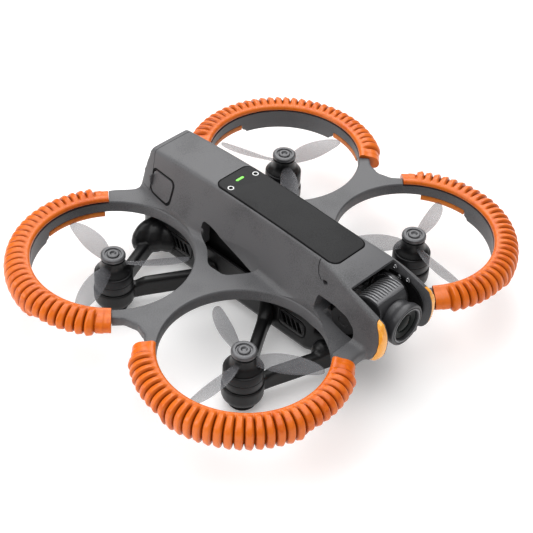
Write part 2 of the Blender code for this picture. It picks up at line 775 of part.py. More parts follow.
def main_board(look):
    low = LEDGE_TOP + GAP
    margin = 0.5 * MM
    return add_object("main_board", box(
        (margin - TUB_INNER_HALF, TUB_INNER_FRONT + margin, low),
        (TUB_INNER_HALF - margin, TUB_INNER_REAR - margin, low + BOARD_THICKNESS),
    ), look)


def board_cooler(look):
    low = LEDGE_TOP + GAP + BOARD_THICKNESS + GAP
    cooler = add_object("board_cooler", box((-SINK_HALF_WIDTH, SINK_FRONT, low),
                                            (SINK_HALF_WIDTH, SINK_REAR, low + SINK_HEIGHT)), look)
    fin = 2 * SINK_HALF_WIDTH / (2 * SINK_SLOTS + 1)
    for i in range(SINK_SLOTS):
        x = -SINK_HALF_WIDTH + fin * (2 * i + 1)
        cut(cooler, box((x, SINK_FRONT - MM, low + SINK_BASE), (x + fin, SINK_REAR + MM, 60 * MM)))
    return cooler


def battery_tray(look):
    margin = 0.3 * MM
    high = BATTERY_BAY_FLOOR - GAP
    return add_object("battery_tray", box(
        (margin - TRAY_BAY_HALF, TRAY_BAY_FRONT + margin, high - TRAY_THICKNESS),
        (TRAY_BAY_HALF - margin, TRAY_BAY_REAR - margin, high),
    ), look)


# ---------------------------------------------------------------- motor arms


def arm_beam(corner, end):
    """Beam from the motor pad to its root on the tub."""
    start = Vector((corner[0] * MOTOR_X, corner[1] * MOTOR_Y))
    along = (Vector(end) - start).normalized()
    reach = (Vector(end) - start).length
    stations = (
        (PAD_RADIUS * 0.45, ARM_WIDTH, ARM_BOTTOM - 0.8 * MM, PAD_TOP - 0.5 * MM),
        (PAD_RADIUS + 0.2 * MM, ARM_WIDTH, ARM_BOTTOM - 0.4 * MM, PAD_TOP - 0.3 * MM),
        (PAD_RADIUS + 5 * MM, ARM_WIDTH, ARM_BOTTOM, ARM_TOP),
        (reach - 9 * MM, ARM_WIDTH, ARM_BOTTOM + 0.8 * MM, ARM_TOP + 0.8 * MM),
        (reach, ROOT_WIDTH, ROOT_BOTTOM, ROOT_TOP),
    )
    sections = []
    for distance, width, low, high in stations:
        across = Vector((-along.y, along.x)).lerp(Vector((0, 1)), 1.0 if distance == reach else 0.0)
        across = across.normalized() if across.dot(Vector((-along.y, along.x))) > 0 else -across
        centre = start + along * distance
        soft = width * 0.22
        outline = ((-width / 2, low + soft), (soft - width / 2, low), (width / 2 - soft, low),
                   (width / 2, low + soft), (width / 2, high - soft), (width / 2 - soft, high),
                   (soft - width / 2, high), (-width / 2, high - soft))
        sections.append([(*(centre + across * u), z) for u, z in outline])
    return loft(sections)


def motor_arm(name, corner, look):
    place = at_motor(corner)
    pad = ((0, PAD_BOTTOM), (7.6 * MM, PAD_BOTTOM), (9.6 * MM, PAD_BOTTOM + 1.2 * MM),
           (PAD_RADIUS, PAD_BOTTOM + 3.4 * MM), (PAD_RADIUS, PAD_TOP - 0.6 * MM),
           (PAD_RADIUS - 0.4 * MM, PAD_TOP), (0, PAD_TOP))
    arm = add_object(name, turned(pad, 24, place), look)
    for end_y in (ARM_END_OUTER, ARM_END_INNER):
        narrow = corner[1] < 0 and end_y == ARM_END_OUTER
        inner = NARROW_TUB_HALF if narrow else tub_half(0)
        join(arm, arm_beam(corner, (corner[0] * (inner + GAP), corner[1] * end_y)))
    x, y, _ = place(0, 0, 0)
    cut(arm, prism(circle(SHAFT_BORE, 16, (x, y)), SHAFT_BOTTOM - MM, 60 * MM))
    smooth(arm)
    return arm


def landing_foot(name, corner, look):
    profile = ((0, 0), (FOOT_RADIUS - 0.8 * MM, 0), (FOOT_RADIUS, 0.8 * MM),
               (FOOT_RADIUS, PAD_BOTTOM - GAP), (0, PAD_BOTTOM - GAP))
    foot = add_object(name, turned(profile, 20, at_motor(corner)), look)
    smooth(foot)
    return foot


# ---------------------------------------------------------------- motors


def stator(name, corner, look):
    low = PAD_TOP + GAP
    high = BELL_TOP - BELL_WALL - 0.6 * MM
    profile = ((SHAFT_BORE, low), (STATOR_RADIUS, low), (STATOR_RADIUS, high), (SHAFT_BORE, high))
    made = add_object(name, turned(profile, 18, at_motor(corner)), look)
    smooth(made)
    return made


def motor_bell(name, corner, look):
    """Bell with its shaft, which runs down into the pad and up through the propeller's hub."""
    low = PAD_TOP + 0.5 * MM
    inner = BELL_RADIUS - BELL_WALL
    profile = ((0, SHAFT_BOTTOM), (SHAFT_RADIUS, SHAFT_BOTTOM), (SHAFT_RADIUS, BELL_TOP - BELL_WALL),
               (inner, BELL_TOP - BELL_WALL), (inner, low), (BELL_RADIUS, low),
               (BELL_RADIUS, BELL_TOP - 0.7 * MM), (BELL_RADIUS - 0.7 * MM, BELL_TOP),
               (SHAFT_RADIUS, BELL_TOP), (SHAFT_RADIUS, HUB_TOP), (0, HUB_TOP))
    made = add_object(name, turned(profile, 24, at_motor(corner)), look)
    smooth(made)
    return made


def blade(corner, direction, handed):
    """One twisted blade, as a flat diamond section along the radius."""
    radius = DUCT_BORE - PROP_CLEARANCE
    place = at_motor(corner)
    out = Vector((math.cos(direction), math.sin(direction)))
    across = Vector((-out.y, out.x))
    sections = []
    for share, chord, pitch in BLADE:
        half = chord * MM / 2
        tilt = math.radians(pitch) * handed
        corners = ((-half, 0), (-half * 0.2, BLADE_THICKNESS / 2), (half, 0),
                   (-half * 0.2, -BLADE_THICKNESS / 2))
        section = []
        for u, w in corners:
            side = u * math.cos(tilt) - w * math.sin(tilt)
            point = out * (share * radius) + across * side
            section.append(place(point.x, point.y, BLADE_Z + u * math.sin(tilt) + w * math.cos(tilt)))
        sections.append(section)
    return loft(sections)


def propeller(name, corner, look):
    bore = SHAFT_RADIUS + HUB_CLEARANCE
    low = BELL_TOP + GAP
    profile = ((bore, low), (HUB_RADIUS - 0.4 * MM, low), (HUB_RADIUS, low + 0.4 * MM),
               (HUB_RADIUS, HUB_TOP), (bore, HUB_TOP))
    made = add_object(name, turned(profile, 18, at_motor(corner)), look)
    outward = math.atan2(0, corner[0])
    for i in range(PROP_BLADES):
        turn = math.radians(BLADE_TURN[name.removeprefix("propeller_")])
        direction = outward + turn + i * 2 * math.pi / PROP_BLADES
        join(made, blade(corner, direction, corner[0] * corner[1]))
    smooth(made)
    return made


def hub_cap(name, corner, look):
    low = HUB_TOP + GAP
    profile = ((0, low), (CAP_RADIUS, low), (CAP_RADIUS, CAP_TOP - 0.9 * MM),
               (CAP_RADIUS - 0.6 * MM, CAP_TOP - 0.3 * MM), (4.2 * MM, CAP_TOP - 0.3 * MM),
               (4.2 * MM, CAP_TOP - MM), (2.8 * MM, CAP_TOP - MM), (2.2 * MM, CAP_TOP), (0, CAP_TOP))
    made = add_object(name, turned(profile, 20, at_motor(corner)), look)
    smooth(made)
    return made


# ---------------------------------------------------------------- gimbal camera


def about_tilt(u, v, w):
    """Places a shape drawn round the vertical about the camera's tilt axis instead."""
    return (w, TILT_Y + u, TILT_Z + v)


def about_lens(u, v, w):
    """Places a shape drawn round the vertical about the lens axis instead."""
    return (u, -w, TILT_Z + v)


def tilt_arc(radius, start, end, step):
    """Points about the tilt axis, their angle counted upwards from straight ahead."""
    return [(-radius * math.cos(math.radians(angle)), radius * math.sin(math.radians(angle)))
            for angle in steps_between(start, end, step)]


def camera_housing(look):
    chin = ((HOUSING_FRONT - TILT_Y, -8.6 * MM), (HOUSING_FRONT - TILT_Y, 6.4 * MM),
            (HOUSING_FRONT - TILT_Y + 2.4 * MM, 8.8 * MM))
    outline = list(chin) + tilt_arc(HOUSING_RADIUS, COOLER_START + 10, 300, 15)
    low, high = -HOUSING_HALF, HOUSING_HALF
    inset = [(u * 0.94, v * 0.94) for u, v in outline]
    sections = [
        [about_tilt(u, v, low) for u, v in inset],
        [about_tilt(u, v, low + HOUSING_BEVEL) for u, v in outline],
        [about_tilt(u, v, high - HOUSING_BEVEL) for u, v in outline],
        [about_tilt(u, v, high) for u, v in inset],
    ]
    housing = add_object("camera_housing", loft(sections), look)
    smooth(housing)
    return housing


def camera_cooler(look):
    """Ribbed cooler that wraps over the top and back of the housing."""
    inner = HOUSING_RADIUS + GAP
    outline = tilt_arc(COOLER_RADIUS, COOLER_START + 8, COOLER_END, 14)
    outline += reversed(tilt_arc(inner, COOLER_START + 8, COOLER_END, 14))
    half = HOUSING_HALF - 0.4 * MM
    cooler = add_object("camera_cooler", prism(outline, -half, half, about_tilt), look)
    pitch = 2 * half / (COOLER_SLOTS + 0.6)
    slot = tilt_arc(COOLER_RADIUS + 2 * MM, COOLER_START + 14, COOLER_END - 6, 20)
    slot += reversed(tilt_arc(inner + COOLER_SKIN, COOLER_START + 14, COOLER_END - 6, 20))
    for i in range(COOLER_SLOTS):
        x = (i - (COOLER_SLOTS - 1) / 2) * pitch
        cut(cooler, prism(slot, x - COOLER_SLOT / 2, x + COOLER_SLOT / 2, about_tilt))
    smooth(cooler)
    return cooler


def lens_barrel(look):
    rear = -HOUSING_FRONT + GAP
    front = -BARREL_FRONT
    floor = front - 1.4 * MM - GLASS_THICKNESS - GAP
    profile = ((0, rear), (BARREL_REAR_RADIUS, rear), (BARREL_REAR_RADIUS, rear + 2.4 * MM),
               (BARREL_RADIUS, rear + 4.0 * MM), (BARREL_RADIUS, front - 0.6 * MM),
               (BARREL_RADIUS - 0.6 * MM, front), (GLASS_RADIUS + 1.4 * MM, front),
               (GLASS_RADIUS + GAP, front - 1.4 * MM), (GLASS_RADIUS + GAP, floor), (0, floor))
    barrel = add_object("lens_barrel", turned(profile, 28, about_lens), look)
    smooth(barrel)
    return barrel


def lens_glass(look):
    high = -BARREL_FRONT - 1.4 * MM
    low = high - GLASS_THICKNESS
    profile = ((0, low), (GLASS_RADIUS, low), (GLASS_RADIUS, high - 0.5 * MM),
               (GLASS_RADIUS * 0.6, high), (0, high + 0.2 * MM))
    glass = add_object("lens_glass", turned(profile, 24, about_lens), look)
    smooth(glass)
    return glass


def tilt_motor(look):
    low = HOUSING_HALF + GAP
    high = low + TILT_MOTOR_THICKNESS
    profile = ((0, low), (TILT_MOTOR_RADIUS, low), (TILT_MOTOR_RADIUS, high), (0, high))
    motor = add_object("tilt_motor", turned(profile, 24, about_tilt), look)
    smooth(motor)
    return motor


def gimbal_mount(look):
    """Back plate and the ear that carries the tilt motor."""
    rear = GIMBAL_BAY_REAR - GAP
    front = TILT_Y + COOLER_RADIUS + 0.6 * MM
    mount = add_object("gimbal_mount", box((-MOUNT_HALF, front, MOUNT_LOW),
                                           (MOUNT_HALF, rear, MOUNT_HIGH)), look)
    inner = HOUSING_HALF + GAP + TILT_MOTOR_THICKNESS + GAP
    outer = inner + EAR_THICKNESS
    radius = TILT_MOTOR_RADIUS - 0.6 * MM
    join(
        mount,
        box((MOUNT_HALF - MM, front, MOUNT_LOW), (outer, rear, MOUNT_HIGH)),
        prism([(rear - TILT_Y, radius * 0.8), (rear - TILT_Y, -radius * 0.8)]
              + [(u, v) for u, v in tilt_arc(radius, -100, 100, 20)], inner, outer, about_tilt),
    )
    return mount


# ---------------------------------------------------------------- battery


def rear_face(z):
    """Point on the leaning rear face at a height, and the face's outward direction."""
    lean = math.radians(REAR_LEAN)
    y = SPINE_REAR - (z - DUCT_TOP) * math.tan(lean)
    return Vector((0, y, z)), Vector((0, math.cos(lean), math.sin(lean)))


def on_rear_face(z):
    """Places a shape drawn round the vertical on the rear face."""
    centre, out = rear_face(z)
    up = Vector((0, -out.z, out.y))
    return lambda u, v, w: tuple(centre + Vector((u, 0, 0)) + up * v + out * w)


def battery_pack(look):
    margin = 0.4 * MM
    outline = rounded_rectangle(
        BATTERY_BAY_HALF - margin, (BATTERY_BAY_ROOF - BATTERY_BAY_FLOOR) / 2 - margin, 2 * MM,
        (0, (BATTERY_BAY_ROOF + BATTERY_BAY_FLOOR) / 2),
    )
    return add_object("battery_pack", prism(outline, BATTERY_BAY_FRONT + margin, CAP_SEAM,
                                            lambda u, v, w: (u, w, v)), look)


def battery_cap(look):
    front = CAP_SEAM + GAP
    cap = add_object("battery_cap", spine(SPINE_REAR, front, CAP_FLOOR, CAP_STATIONS, REAR_LEAN), look)
    margin = 0.4 * MM
    join(cap, box((margin - BATTERY_BAY_HALF, front, BATTERY_BAY_FLOOR + margin),
                  (BATTERY_BAY_HALF - margin, SPINE_REAR - 2.2 * MM, CAP_FLOOR + 2 * MM)))
    button = on_rear_face(BUTTON_Z)
    level = on_rear_face(LEVEL_Z)
    cut(
        cap,
        prism(circle(BUTTON_RADIUS + GAP, 24), -BUTTON_DEPTH - BUTTON_TRAVEL - GAP, 9 * MM, button),
        prism(rounded_rectangle(LEVEL_HALF_LENGTH + INLAY_GAP, LEVEL_HALF_HEIGHT + INLAY_GAP,
                                LEVEL_HALF_HEIGHT * 0.9), -INLAY_DEPTH - INLAY_GAP, 9 * MM, level),
    )
    smooth(cap)
    return cap


def power_button(look):
    profile = ((0, -BUTTON_DEPTH), (BUTTON_RADIUS, -BUTTON_DEPTH), (BUTTON_RADIUS, BUTTON_PROUD - 0.3 * MM),
               (BUTTON_RADIUS - 0.3 * MM, BUTTON_PROUD), (0, BUTTON_PROUD))
    button = add_object("power_button", turned(profile, 24, on_rear_face(BUTTON_Z)), look)
    smooth(button)
    return button


def level_lights(look):
    outline = rounded_rectangle(LEVEL_HALF_LENGTH, LEVEL_HALF_HEIGHT, LEVEL_HALF_HEIGHT * 0.9)
    return add_object("level_lights", prism(outline, -INLAY_DEPTH, 0, on_rear_face(LEVEL_Z)), look)


def battery_clip(name, side, look):
    rear = CAP_SEAM - CLIP_MARGIN
    clip = add_object(name, side_prism(clip_outline(0, rear), side, CLIP_INNER, 40 * MM), look)
    combine(clip, spine(SPINE_REAR, DECK_FRONT, SPINE_FLOOR, SPINE_STATIONS), "INTERSECT")
    smooth(clip)
    return clip


# ---------------------------------------------------------------- assembly


def main():
    clear_scene()
    shell = material("shell_grey_abs", "5F5F62", 0.55)
    chassis = material("chassis_black_nylon", "1E1E20", 0.5)
    gloss = material("panel_black", "38383A", 0.45)
    orange = material("bumper_orange_rubber", "E8641B", 0.6)
    amber = material("lamp_amber", "F5A233", 0.35)
    white = material("ring_white", "DDDDDD", 0.4)
    green = material("light_green", "A8E58C", 0.3)
    motor_metal = material("motor_anodised", "2A2A2C", 0.4, 0.8)
    winding = material("winding_copper", "8A4A24", 0.4, 1.0)
    prop = material("prop_polycarbonate", "3A3A3C", 0.35)
    rubber = material("foot_rubber", "161616", 0.8)
    camera = material("camera_grey", "47474A", 0.45, 0.3)
    glass = material("lens_dark_glass", "0A0F0C", 0.05)
    board_green = material("board_laminate", "12402A", 0.5)
    sink = material("cooler_aluminium", "8C8C90", 0.4, 1.0)
    pack = material("pack_shell", "2B2B2D", 0.6)

    upper_frame(shell)
    top_panel(gloss)
    status_light(green)
    for side_name, side in SIDES.items():
        panel_ring(f"panel_ring_{side_name}", side, white)
        nose_lamp(f"nose_lamp_{side_name}", side, amber)
        for end, centre in VENT_CENTRES.items():
            side_vent(f"side_vent_{end}_{side_name}", side, centre, chassis)
    lower_chassis(chassis)
    belly_hatch(pack)
    belly_lens(glass)
    main_board(board_green)
    board_cooler(sink)
    battery_tray(chassis)

    for name, corner in CORNERS.items():
        bumper(f"bumper_{name}", corner, orange)
        motor_arm(f"motor_arm_{name}", corner, chassis)
        landing_foot(f"landing_foot_{name}", corner, rubber)
        stator(f"stator_{name}", corner, winding)
        turning = [
            motor_bell(f"motor_bell_{name}", corner, motor_metal),
            propeller(f"propeller_{name}", corner, prop),
            hub_cap(f"hub_cap_{name}", corner, motor_metal),
        ]
        hang(f"spin_axis_{name}", at_motor(corner)(0, 0, BELL_TOP), turning)

    gimbal_mount(chassis)
    tilt_motor(motor_metal)
    tilting = [camera_housing(camera), camera_cooler(sink), lens_barrel(camera), lens_glass(glass)]
    hang("tilt_axis", (0, TILT_Y, TILT_Z), tilting)

    slide = hang("battery_slide", (0, CAP_SEAM, BATTERY_BAY_FLOOR),
                 [battery_pack(pack), battery_cap(shell), level_lights(green)])
    for side_name, side in SIDES.items():
        clip = battery_clip(f"battery_clip_{side_name}", side, gloss)
        hang(f"clip_press_{side_name}", (side * CLIP_INNER, CLIP_FRONT, CLIP_LOW), [clip], slide)
    hang("button_press", tuple(rear_face(BUTTON_Z)[0]), [power_button(gloss)], slide)


main()
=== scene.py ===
"""Looks of the ducted racing drone: moulded shells, ribbed bumpers, motors, propellers and the camera.

The frame's origin is on the ground under the middle of the four motors, the nose points along -Y, the
drone's left is +X and up is +Z. Lengths are in millimetres and are turned to metres where a shape is made.
"""

import math

import bmesh
import bpy
from mathutils import Matrix, Vector


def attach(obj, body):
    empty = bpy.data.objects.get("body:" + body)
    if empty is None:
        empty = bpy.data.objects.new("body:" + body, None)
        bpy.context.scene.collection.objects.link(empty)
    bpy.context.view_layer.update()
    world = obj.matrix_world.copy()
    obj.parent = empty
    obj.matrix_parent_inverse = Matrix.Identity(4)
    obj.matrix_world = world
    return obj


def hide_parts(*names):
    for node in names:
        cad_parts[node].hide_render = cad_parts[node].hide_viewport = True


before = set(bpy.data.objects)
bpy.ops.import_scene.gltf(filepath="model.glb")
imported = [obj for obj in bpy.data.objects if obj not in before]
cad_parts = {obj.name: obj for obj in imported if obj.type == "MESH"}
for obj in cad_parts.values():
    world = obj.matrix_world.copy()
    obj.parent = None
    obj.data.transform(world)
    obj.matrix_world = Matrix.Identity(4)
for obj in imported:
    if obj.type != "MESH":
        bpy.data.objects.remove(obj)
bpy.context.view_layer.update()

MM = 0.001
CORNERS = {
    "front_left": (1, -1),
    "front_right": (-1, -1),
    "rear_left": (1, 1),
    "rear_right": (-1, 1),
}
SIDES = {"left": 1, "right": -1}
MOTOR_X = 60.5
MOTOR_Y = 45.5

# Rows of the hull from tail to nose tip: y, half width and height of the deck, half width of the skirt.
HULL = (
    (86, 12.4, 58.4, 13.6), (77, 12.6, 59.9, 14.5), (70, 12.7, 61.1, 17.0), (60, 12.8, 61.9, 20.0),
    (45, 12.8, 62.9, 22.0), (28, 12.8, 63.7, 22.0), (12, 12.8, 64.1, 19.7), (-12, 12.8, 63.8, 18.0),
    (-30, 12.8, 63.2, 20.5), (-45, 13.0, 62.3, 22.0), (-55, 14.4, 61.6, 21.3), (-68, 16.8, 58.9, 20.4),
    (-80, 18.1, 55.5, 20.0), (-93, 18.8, 50.6, 19.6), (-102, 19.0, 46.8, 19.4),
)
HULL_FLOOR = 20.0
DUCT_TOP = 34.5
DUCT_FLOOR = 28.0
DUCT_BORE = 40.0
DUCT_RIM = 45.5
SHOULDER = 1.8
FLARE = (1.0, 0.78, 0.56, 0.34, 0.15)  # shares of the way from the deck's edge down to the duct
FLARE_POWER = 1.5

# Side view of the whole upper shell, as (y, z): the leaning tail, the nose and the belly of both.
SIDE_VIEW = (
    (77, 27.6), (77, 37), (68.2, 68.5), (-46, 68.5), (-80, 62), (-86, 55.5), (-89.4, 51.6), (-91.6, 47.4),
    (-92.5, 43), (-92.3, 38), (-91.2, 33), (-88.8, 29.4), (-84, 27.2), (-76, 24.6), (-66, 23.2),
    (-56, 25), (-46, 27.6),
)
# Outlines seen from above, as (x, y): the waist web, its window and the gussets at the tail and the fork.
WEB = ((93.4, 14), (87.2, 7), (85.2, 0), (87.2, -7), (93.4, -14), (60.5, -14), (10, -32), (10, 32),
       (60.5, 14))
WEB_FLOOR = 29.5
TAIL_WEB = ((38, 86), (30, 84.7), (25, 82.0), (20.5, 79.2), (17, 77), (12, 76.6), (14, 60),
            (30, 60), (36, 74))
NOSE_WEB = ((38, -86), (30, -84.9), (25.5, -84.0), (21.5, -84.2), (18.4, -85), (17, -84), (17, -62),
            (30, -62), (36, -74))
WINDOW = ((19.6, 27.0), (24.0, 17.0), (32.4, 8.0), (32.0, -3.0), (24.0, -8.6), (16.6, -13.0),
          (17.0, 2.0))
# Outlines seen from the side, as (y, z).
CHEEK_WINDOW = ((-50.6, 45.4), (-61, 45.6), (-69.5, 44.4), (-74.6, 40.8), (-75.8, 36), (-73.4, 31.4),
                (-68, 31.6), (-58, 34.6), (-50.2, 38.2))
UNDERCUT = ((26.4, 43.2), (22, 42.8), (17, 41.4), (10, 37.8), (3, 34.2), (-3, 31.4), (-8, 29.2),
            (-8, 21), (26.4, 21))
CHEEK_HOLLOW = ((-54, 48), (-61, 48.2), (-70.5, 47), (-77, 42.4), (-78.4, 36), (-75.4, 29.4), (-68, 28.6),
                (-58, 31.8), (-54, 34))
CHEEK_SEAM = ((-46.6, 64), (-46.7, 58.2), (-47.8, 54.8), (-50.4, 52.4), (-50.2, 52.0), (-47.4, 54.4),
              (-46.2, 58), (-46.1, 64))
CHEEK_HOLE = ((-50.6, 53.2), (-53.4, 54.0), (-54.6, 52.6), (-52.4, 51.2))
CHEEK_LINER = ((-64, 52), (-76, 52.6), (-83.6, 49.4), (-87.6, 44.4), (-88.2, 38.4), (-86.2, 32.6),
               (-80, 29.4), (-70, 28.6), (-64, 31))
LAMP_BACK = ((-84.4, 55.6), (-87.2, 51.6), (-89.2, 46.8), (-90, 42), (-89.6, 36.6), (-88, 31.8),
             (-85.2, 27.4))
CAP_SEAM = 67.2
CAP_FLOOR = 38.0
TAIL_Y = 77.0
TAIL_LEAN = 15.6  # degrees that the tail leans forwards
BUTTON_Z = 50.5
LEVEL_Z = 42.6
CLIP = (50.7, 38.6, 66.7, 50.9)  # low y, low z, high y, high z
CLIP_CORNER = 2.6
PANEL = (11.3, 25.0, -53.9)  # half width, rear edge, front edge
PANEL_CORNER = 4.0
PANEL_GAP = 0.75
TILT_Y = -71.0
TILT_Z = 43.0
LENS_Z = 41.6


# ---------------------------------------------------------------- making shapes


def named(name):
    """Names the object that an operator has just added."""
    piece = bpy.context.object
    piece.name = piece.data.name = name
    return piece


def choose(piece):
    """Makes a piece the only selected object and the active one."""
    if bpy.context.object and bpy.context.object.mode != "OBJECT":
        bpy.ops.object.mode_set(mode="OBJECT")
    bpy.ops.object.select_all(action="DESELECT")
    bpy.context.view_layer.objects.active = piece
    piece.select_set(True)


def edit(piece):
    choose(piece)
    bpy.ops.object.mode_set(mode="EDIT")
    bpy.ops.mesh.select_mode(type="VERT")


def done():
    bpy.ops.object.mode_set(mode="OBJECT")


def pick(test, kind="VERT"):
    """In edit mode, selects the vertices, edges or faces that the test accepts."""
    bpy.ops.mesh.select_mode(type=kind)
    mesh = bmesh.from_edit_mesh(bpy.context.object.data)
    for vertex in mesh.verts:
        vertex.select = False
    for edge in mesh.edges:
        edge.select = False
    for face in mesh.faces:
        face.select = False
    parts = {"VERT": mesh.verts, "EDGE": mesh.edges, "FACE": mesh.faces}[kind]
    for part in parts:
        if test(part):
            part.select_set(True)
    mesh.select_flush_mode()
    bmesh.update_edit_mesh(bpy.context.object.data)


def shift(x, y, z):
    bpy.ops.transform.translate(value=(x * MM, y * MM, z * MM))


def near(point):
    spot = Vector(point) * MM
    return lambda vertex: (vertex.co - spot).length < 0.002 * MM


def outline(name, corners):
    """Face whose corners are moved one by one to these points; it stays in edit mode."""
    bpy.ops.object.select_all(action="DESELECT")
    bpy.ops.mesh.primitive_circle_add(vertices=len(corners), radius=500 * MM, fill_type="NGON")
    piece = named(name)
    starts = [vertex.co / MM for vertex in piece.data.vertices]
    edit(piece)
    for start, corner in zip(starts, corners):
        pick(near(start))
        shift(*(Vector(corner) - start))
    pick(lambda face: True, "FACE")
    return piece


def slab(name, corners, low, high, spot=None, soften=0.0, steps=4):
    """Outline of (u, v) corners, pulled up from low to high. Softening rounds its corners."""
    piece = outline(name, [(u, v, low) for u, v in corners])
    if soften:
        bpy.ops.mesh.bevel(offset=soften * MM, segments=steps, affect="VERTICES")
        pick(lambda face: True, "FACE")
    bpy.ops.mesh.extrude_region_move(TRANSFORM_OT_translate={"value": (0, 0, (high - low) * MM)})
    bpy.ops.mesh.select_all(action="SELECT")
    bpy.ops.mesh.normals_make_consistent(inside=False)
    done()
    if spot:
        move(piece, spot)
    return piece


def loft(name, sections):
    """Body through sections of equal corner counts, each one extruded from the last."""
    piece = outline(name, sections[0])
    for last, section in zip(sections, sections[1:]):
        step = sum((Vector(point) for point in section), Vector()) / len(section)
        step -= sum((Vector(point) for point in last), Vector()) / len(last)
        bpy.ops.mesh.extrude_region_move(TRANSFORM_OT_translate={"value": step * MM})
        for old, new in zip(last, section):
            pick(near(Vector(old) + step))
            shift(*(Vector(new) - Vector(old) - step))
        ends = [Vector(point) for point in section]
        pick(lambda vertex: any((vertex.co / MM - end).length < 0.002 for end in ends))
        bpy.ops.mesh.select_mode(type="FACE")
    bpy.ops.mesh.select_all(action="SELECT")
    bpy.ops.mesh.normals_make_consistent(inside=False)
    done()
    return piece


def line(name, points):
    """Line of edges through (radius, height) points, left in edit mode."""
    bpy.ops.object.select_all(action="DESELECT")
    bpy.ops.mesh.primitive_circle_add(vertices=3, radius=MM)
    piece = named(name)
    edit(piece)
    bpy.ops.mesh.select_all(action="SELECT")
    bpy.ops.mesh.merge(type="CENTER")
    shift(points[0][0], 0, points[0][1])
    for (r0, z0), (r1, z1) in zip(points, points[1:]):
        step = ((r1 - r0) * MM, 0, (z1 - z0) * MM)
        bpy.ops.mesh.extrude_vertices_move(TRANSFORM_OT_translate={"value": step})
    return piece


def turned(name, points, steps=64, spot=None, ring=False):
    """Body from (radius, height) points spun about the vertical, then put in place."""
    piece = line(name, points)
    if ring:
        first, last = near((points[0][0], 0, points[0][1])), near((points[-1][0], 0, points[-1][1]))
        pick(lambda vertex: first(vertex) or last(vertex))
        bpy.ops.mesh.edge_face_add()
    bpy.ops.mesh.select_all(action="SELECT")
    bpy.ops.mesh.spin(steps=steps, angle=math.tau, center=(0, 0, 0), axis=(0, 0, 1))
    bpy.ops.mesh.select_all(action="SELECT")
    bpy.ops.mesh.remove_doubles(threshold=0.001 * MM)
    bpy.ops.mesh.normals_make_consistent(inside=False)
    done()
    if spot:
        move(piece, spot)
    return piece


def block(name, low, high, soften=0.0, steps=3):
    """Cuboid between two corners, its edges rounded."""
    bpy.ops.object.select_all(action="DESELECT")
    centre = (Vector(low) + Vector(high)) / 2 * MM
    bpy.ops.mesh.primitive_cube_add(size=1, location=centre, scale=(Vector(high) - Vector(low)) * MM)
    piece = named(name)
    bpy.ops.object.transform_apply()
    if soften:
        refine(piece, "BEVEL", width=soften * MM, segments=steps, limit_method="ANGLE")
    return piece


def move(piece, spot):
    """Puts a piece somewhere for good. A mirroring matrix turns its faces round, so they are turned back."""
    choose(piece)
    piece.matrix_world = spot
    bpy.ops.object.transform_apply(location=True, rotation=True, scale=True)
    if spot.determinant() < 0:
        edit(piece)
        bpy.ops.mesh.select_all(action="SELECT")
        bpy.ops.mesh.normals_make_consistent(inside=False)
        done()
    return piece


def copy(piece, name, spot=None):
    twin = bpy.data.objects.new(name, piece.data.copy())
    bpy.context.scene.collection.objects.link(twin)
    return move(twin, spot) if spot else twin


def from_cad(node, name):
    """Copy of a CAD node with its loose triangles sewn together."""
    piece = copy(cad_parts[node], name)
    edit(piece)
    bpy.ops.mesh.select_all(action="SELECT")
    bpy.ops.mesh.remove_doubles(threshold=0.005 * MM)
    done()
    return piece


def refine(piece, kind, **settings):
    """Adds a modifier and applies it."""
    choose(piece)
    modifier = piece.modifiers.new(kind.title(), kind)
    for key, value in settings.items():
        setattr(modifier, key, value)
    bpy.ops.object.modifier_apply(modifier=modifier.name)
    return piece


def combine(piece, tools, operation):
    """Joins, cuts or keeps with each tool in turn, and removes the tools."""
    for tool in tools:
        refine(piece, "BOOLEAN", object=tool, operation=operation, solver="MANIFOLD")
        bpy.data.objects.remove(tool, do_unlink=True)
    return piece


def cut(piece, *tools):
    return combine(piece, tools, "DIFFERENCE")


def add_to(piece, *tools):
    return combine(piece, tools, "UNION")


def keep(piece, *tools):
    return combine(piece, tools, "INTERSECT")


def join(piece, *others):
    """Several shapes as one object."""
    choose(piece)
    for other in others:
        other.select_set(True)
    bpy.ops.object.join()
    return piece


def rounded_edges(piece, width, steps=3, angle=30):
    return refine(piece, "BEVEL", width=width * MM, segments=steps, limit_method="ANGLE",
                  angle_limit=math.radians(angle), use_clamp_overlap=True)


def sew_flat(piece, angle=1.0):
    """Makes the triangles of each flat face one face, so that edges can be rounded."""
    edit(piece)
    bpy.ops.mesh.select_all(action="SELECT")
    bpy.ops.mesh.dissolve_limited(angle_limit=math.radians(angle))
    done()
    return piece


def at(x, y, z):
    return Matrix.Translation(Vector((x, y, z)) * MM)


def at_motor(corner):
    return at(corner[0] * MOTOR_X, corner[1] * MOTOR_Y, 0)


# Turns a shape drawn in (u, v) and pulled along w so that it lies in the side view, pulled along X.
SIDEWAYS = Matrix(((0, 0, 1), (1, 0, 0), (0, 1, 0))).to_4x4()
# Turns a shape drawn about the vertical so that its axis points along -Y.
FORWARDS = Matrix(((1, 0, 0), (0, 0, -1), (0, 1, 0))).to_4x4()


def rectangle(low_u, low_v, high_u, high_v):
    return ((low_u, low_v), (high_u, low_v), (high_u, high_v), (low_u, high_v))


def side_slab(name, corners, side, inner, outer, **settings):
    """Side view pulled outwards on one side of the drone."""
    low, high = sorted((side * inner, side * outer))
    return slab(name, corners, low, high, SIDEWAYS, **settings)


# ---------------------------------------------------------------- materials


def colour(code):
    """An sRGB hex value as a linear colour."""
    parts = [int(code[i : i + 2], 16) / 255 for i in (0, 2, 4)]
    return (*(p / 12.92 if p <= 0.04045 else ((p + 0.055) / 1.055) ** 2.4 for p in parts), 1.0)


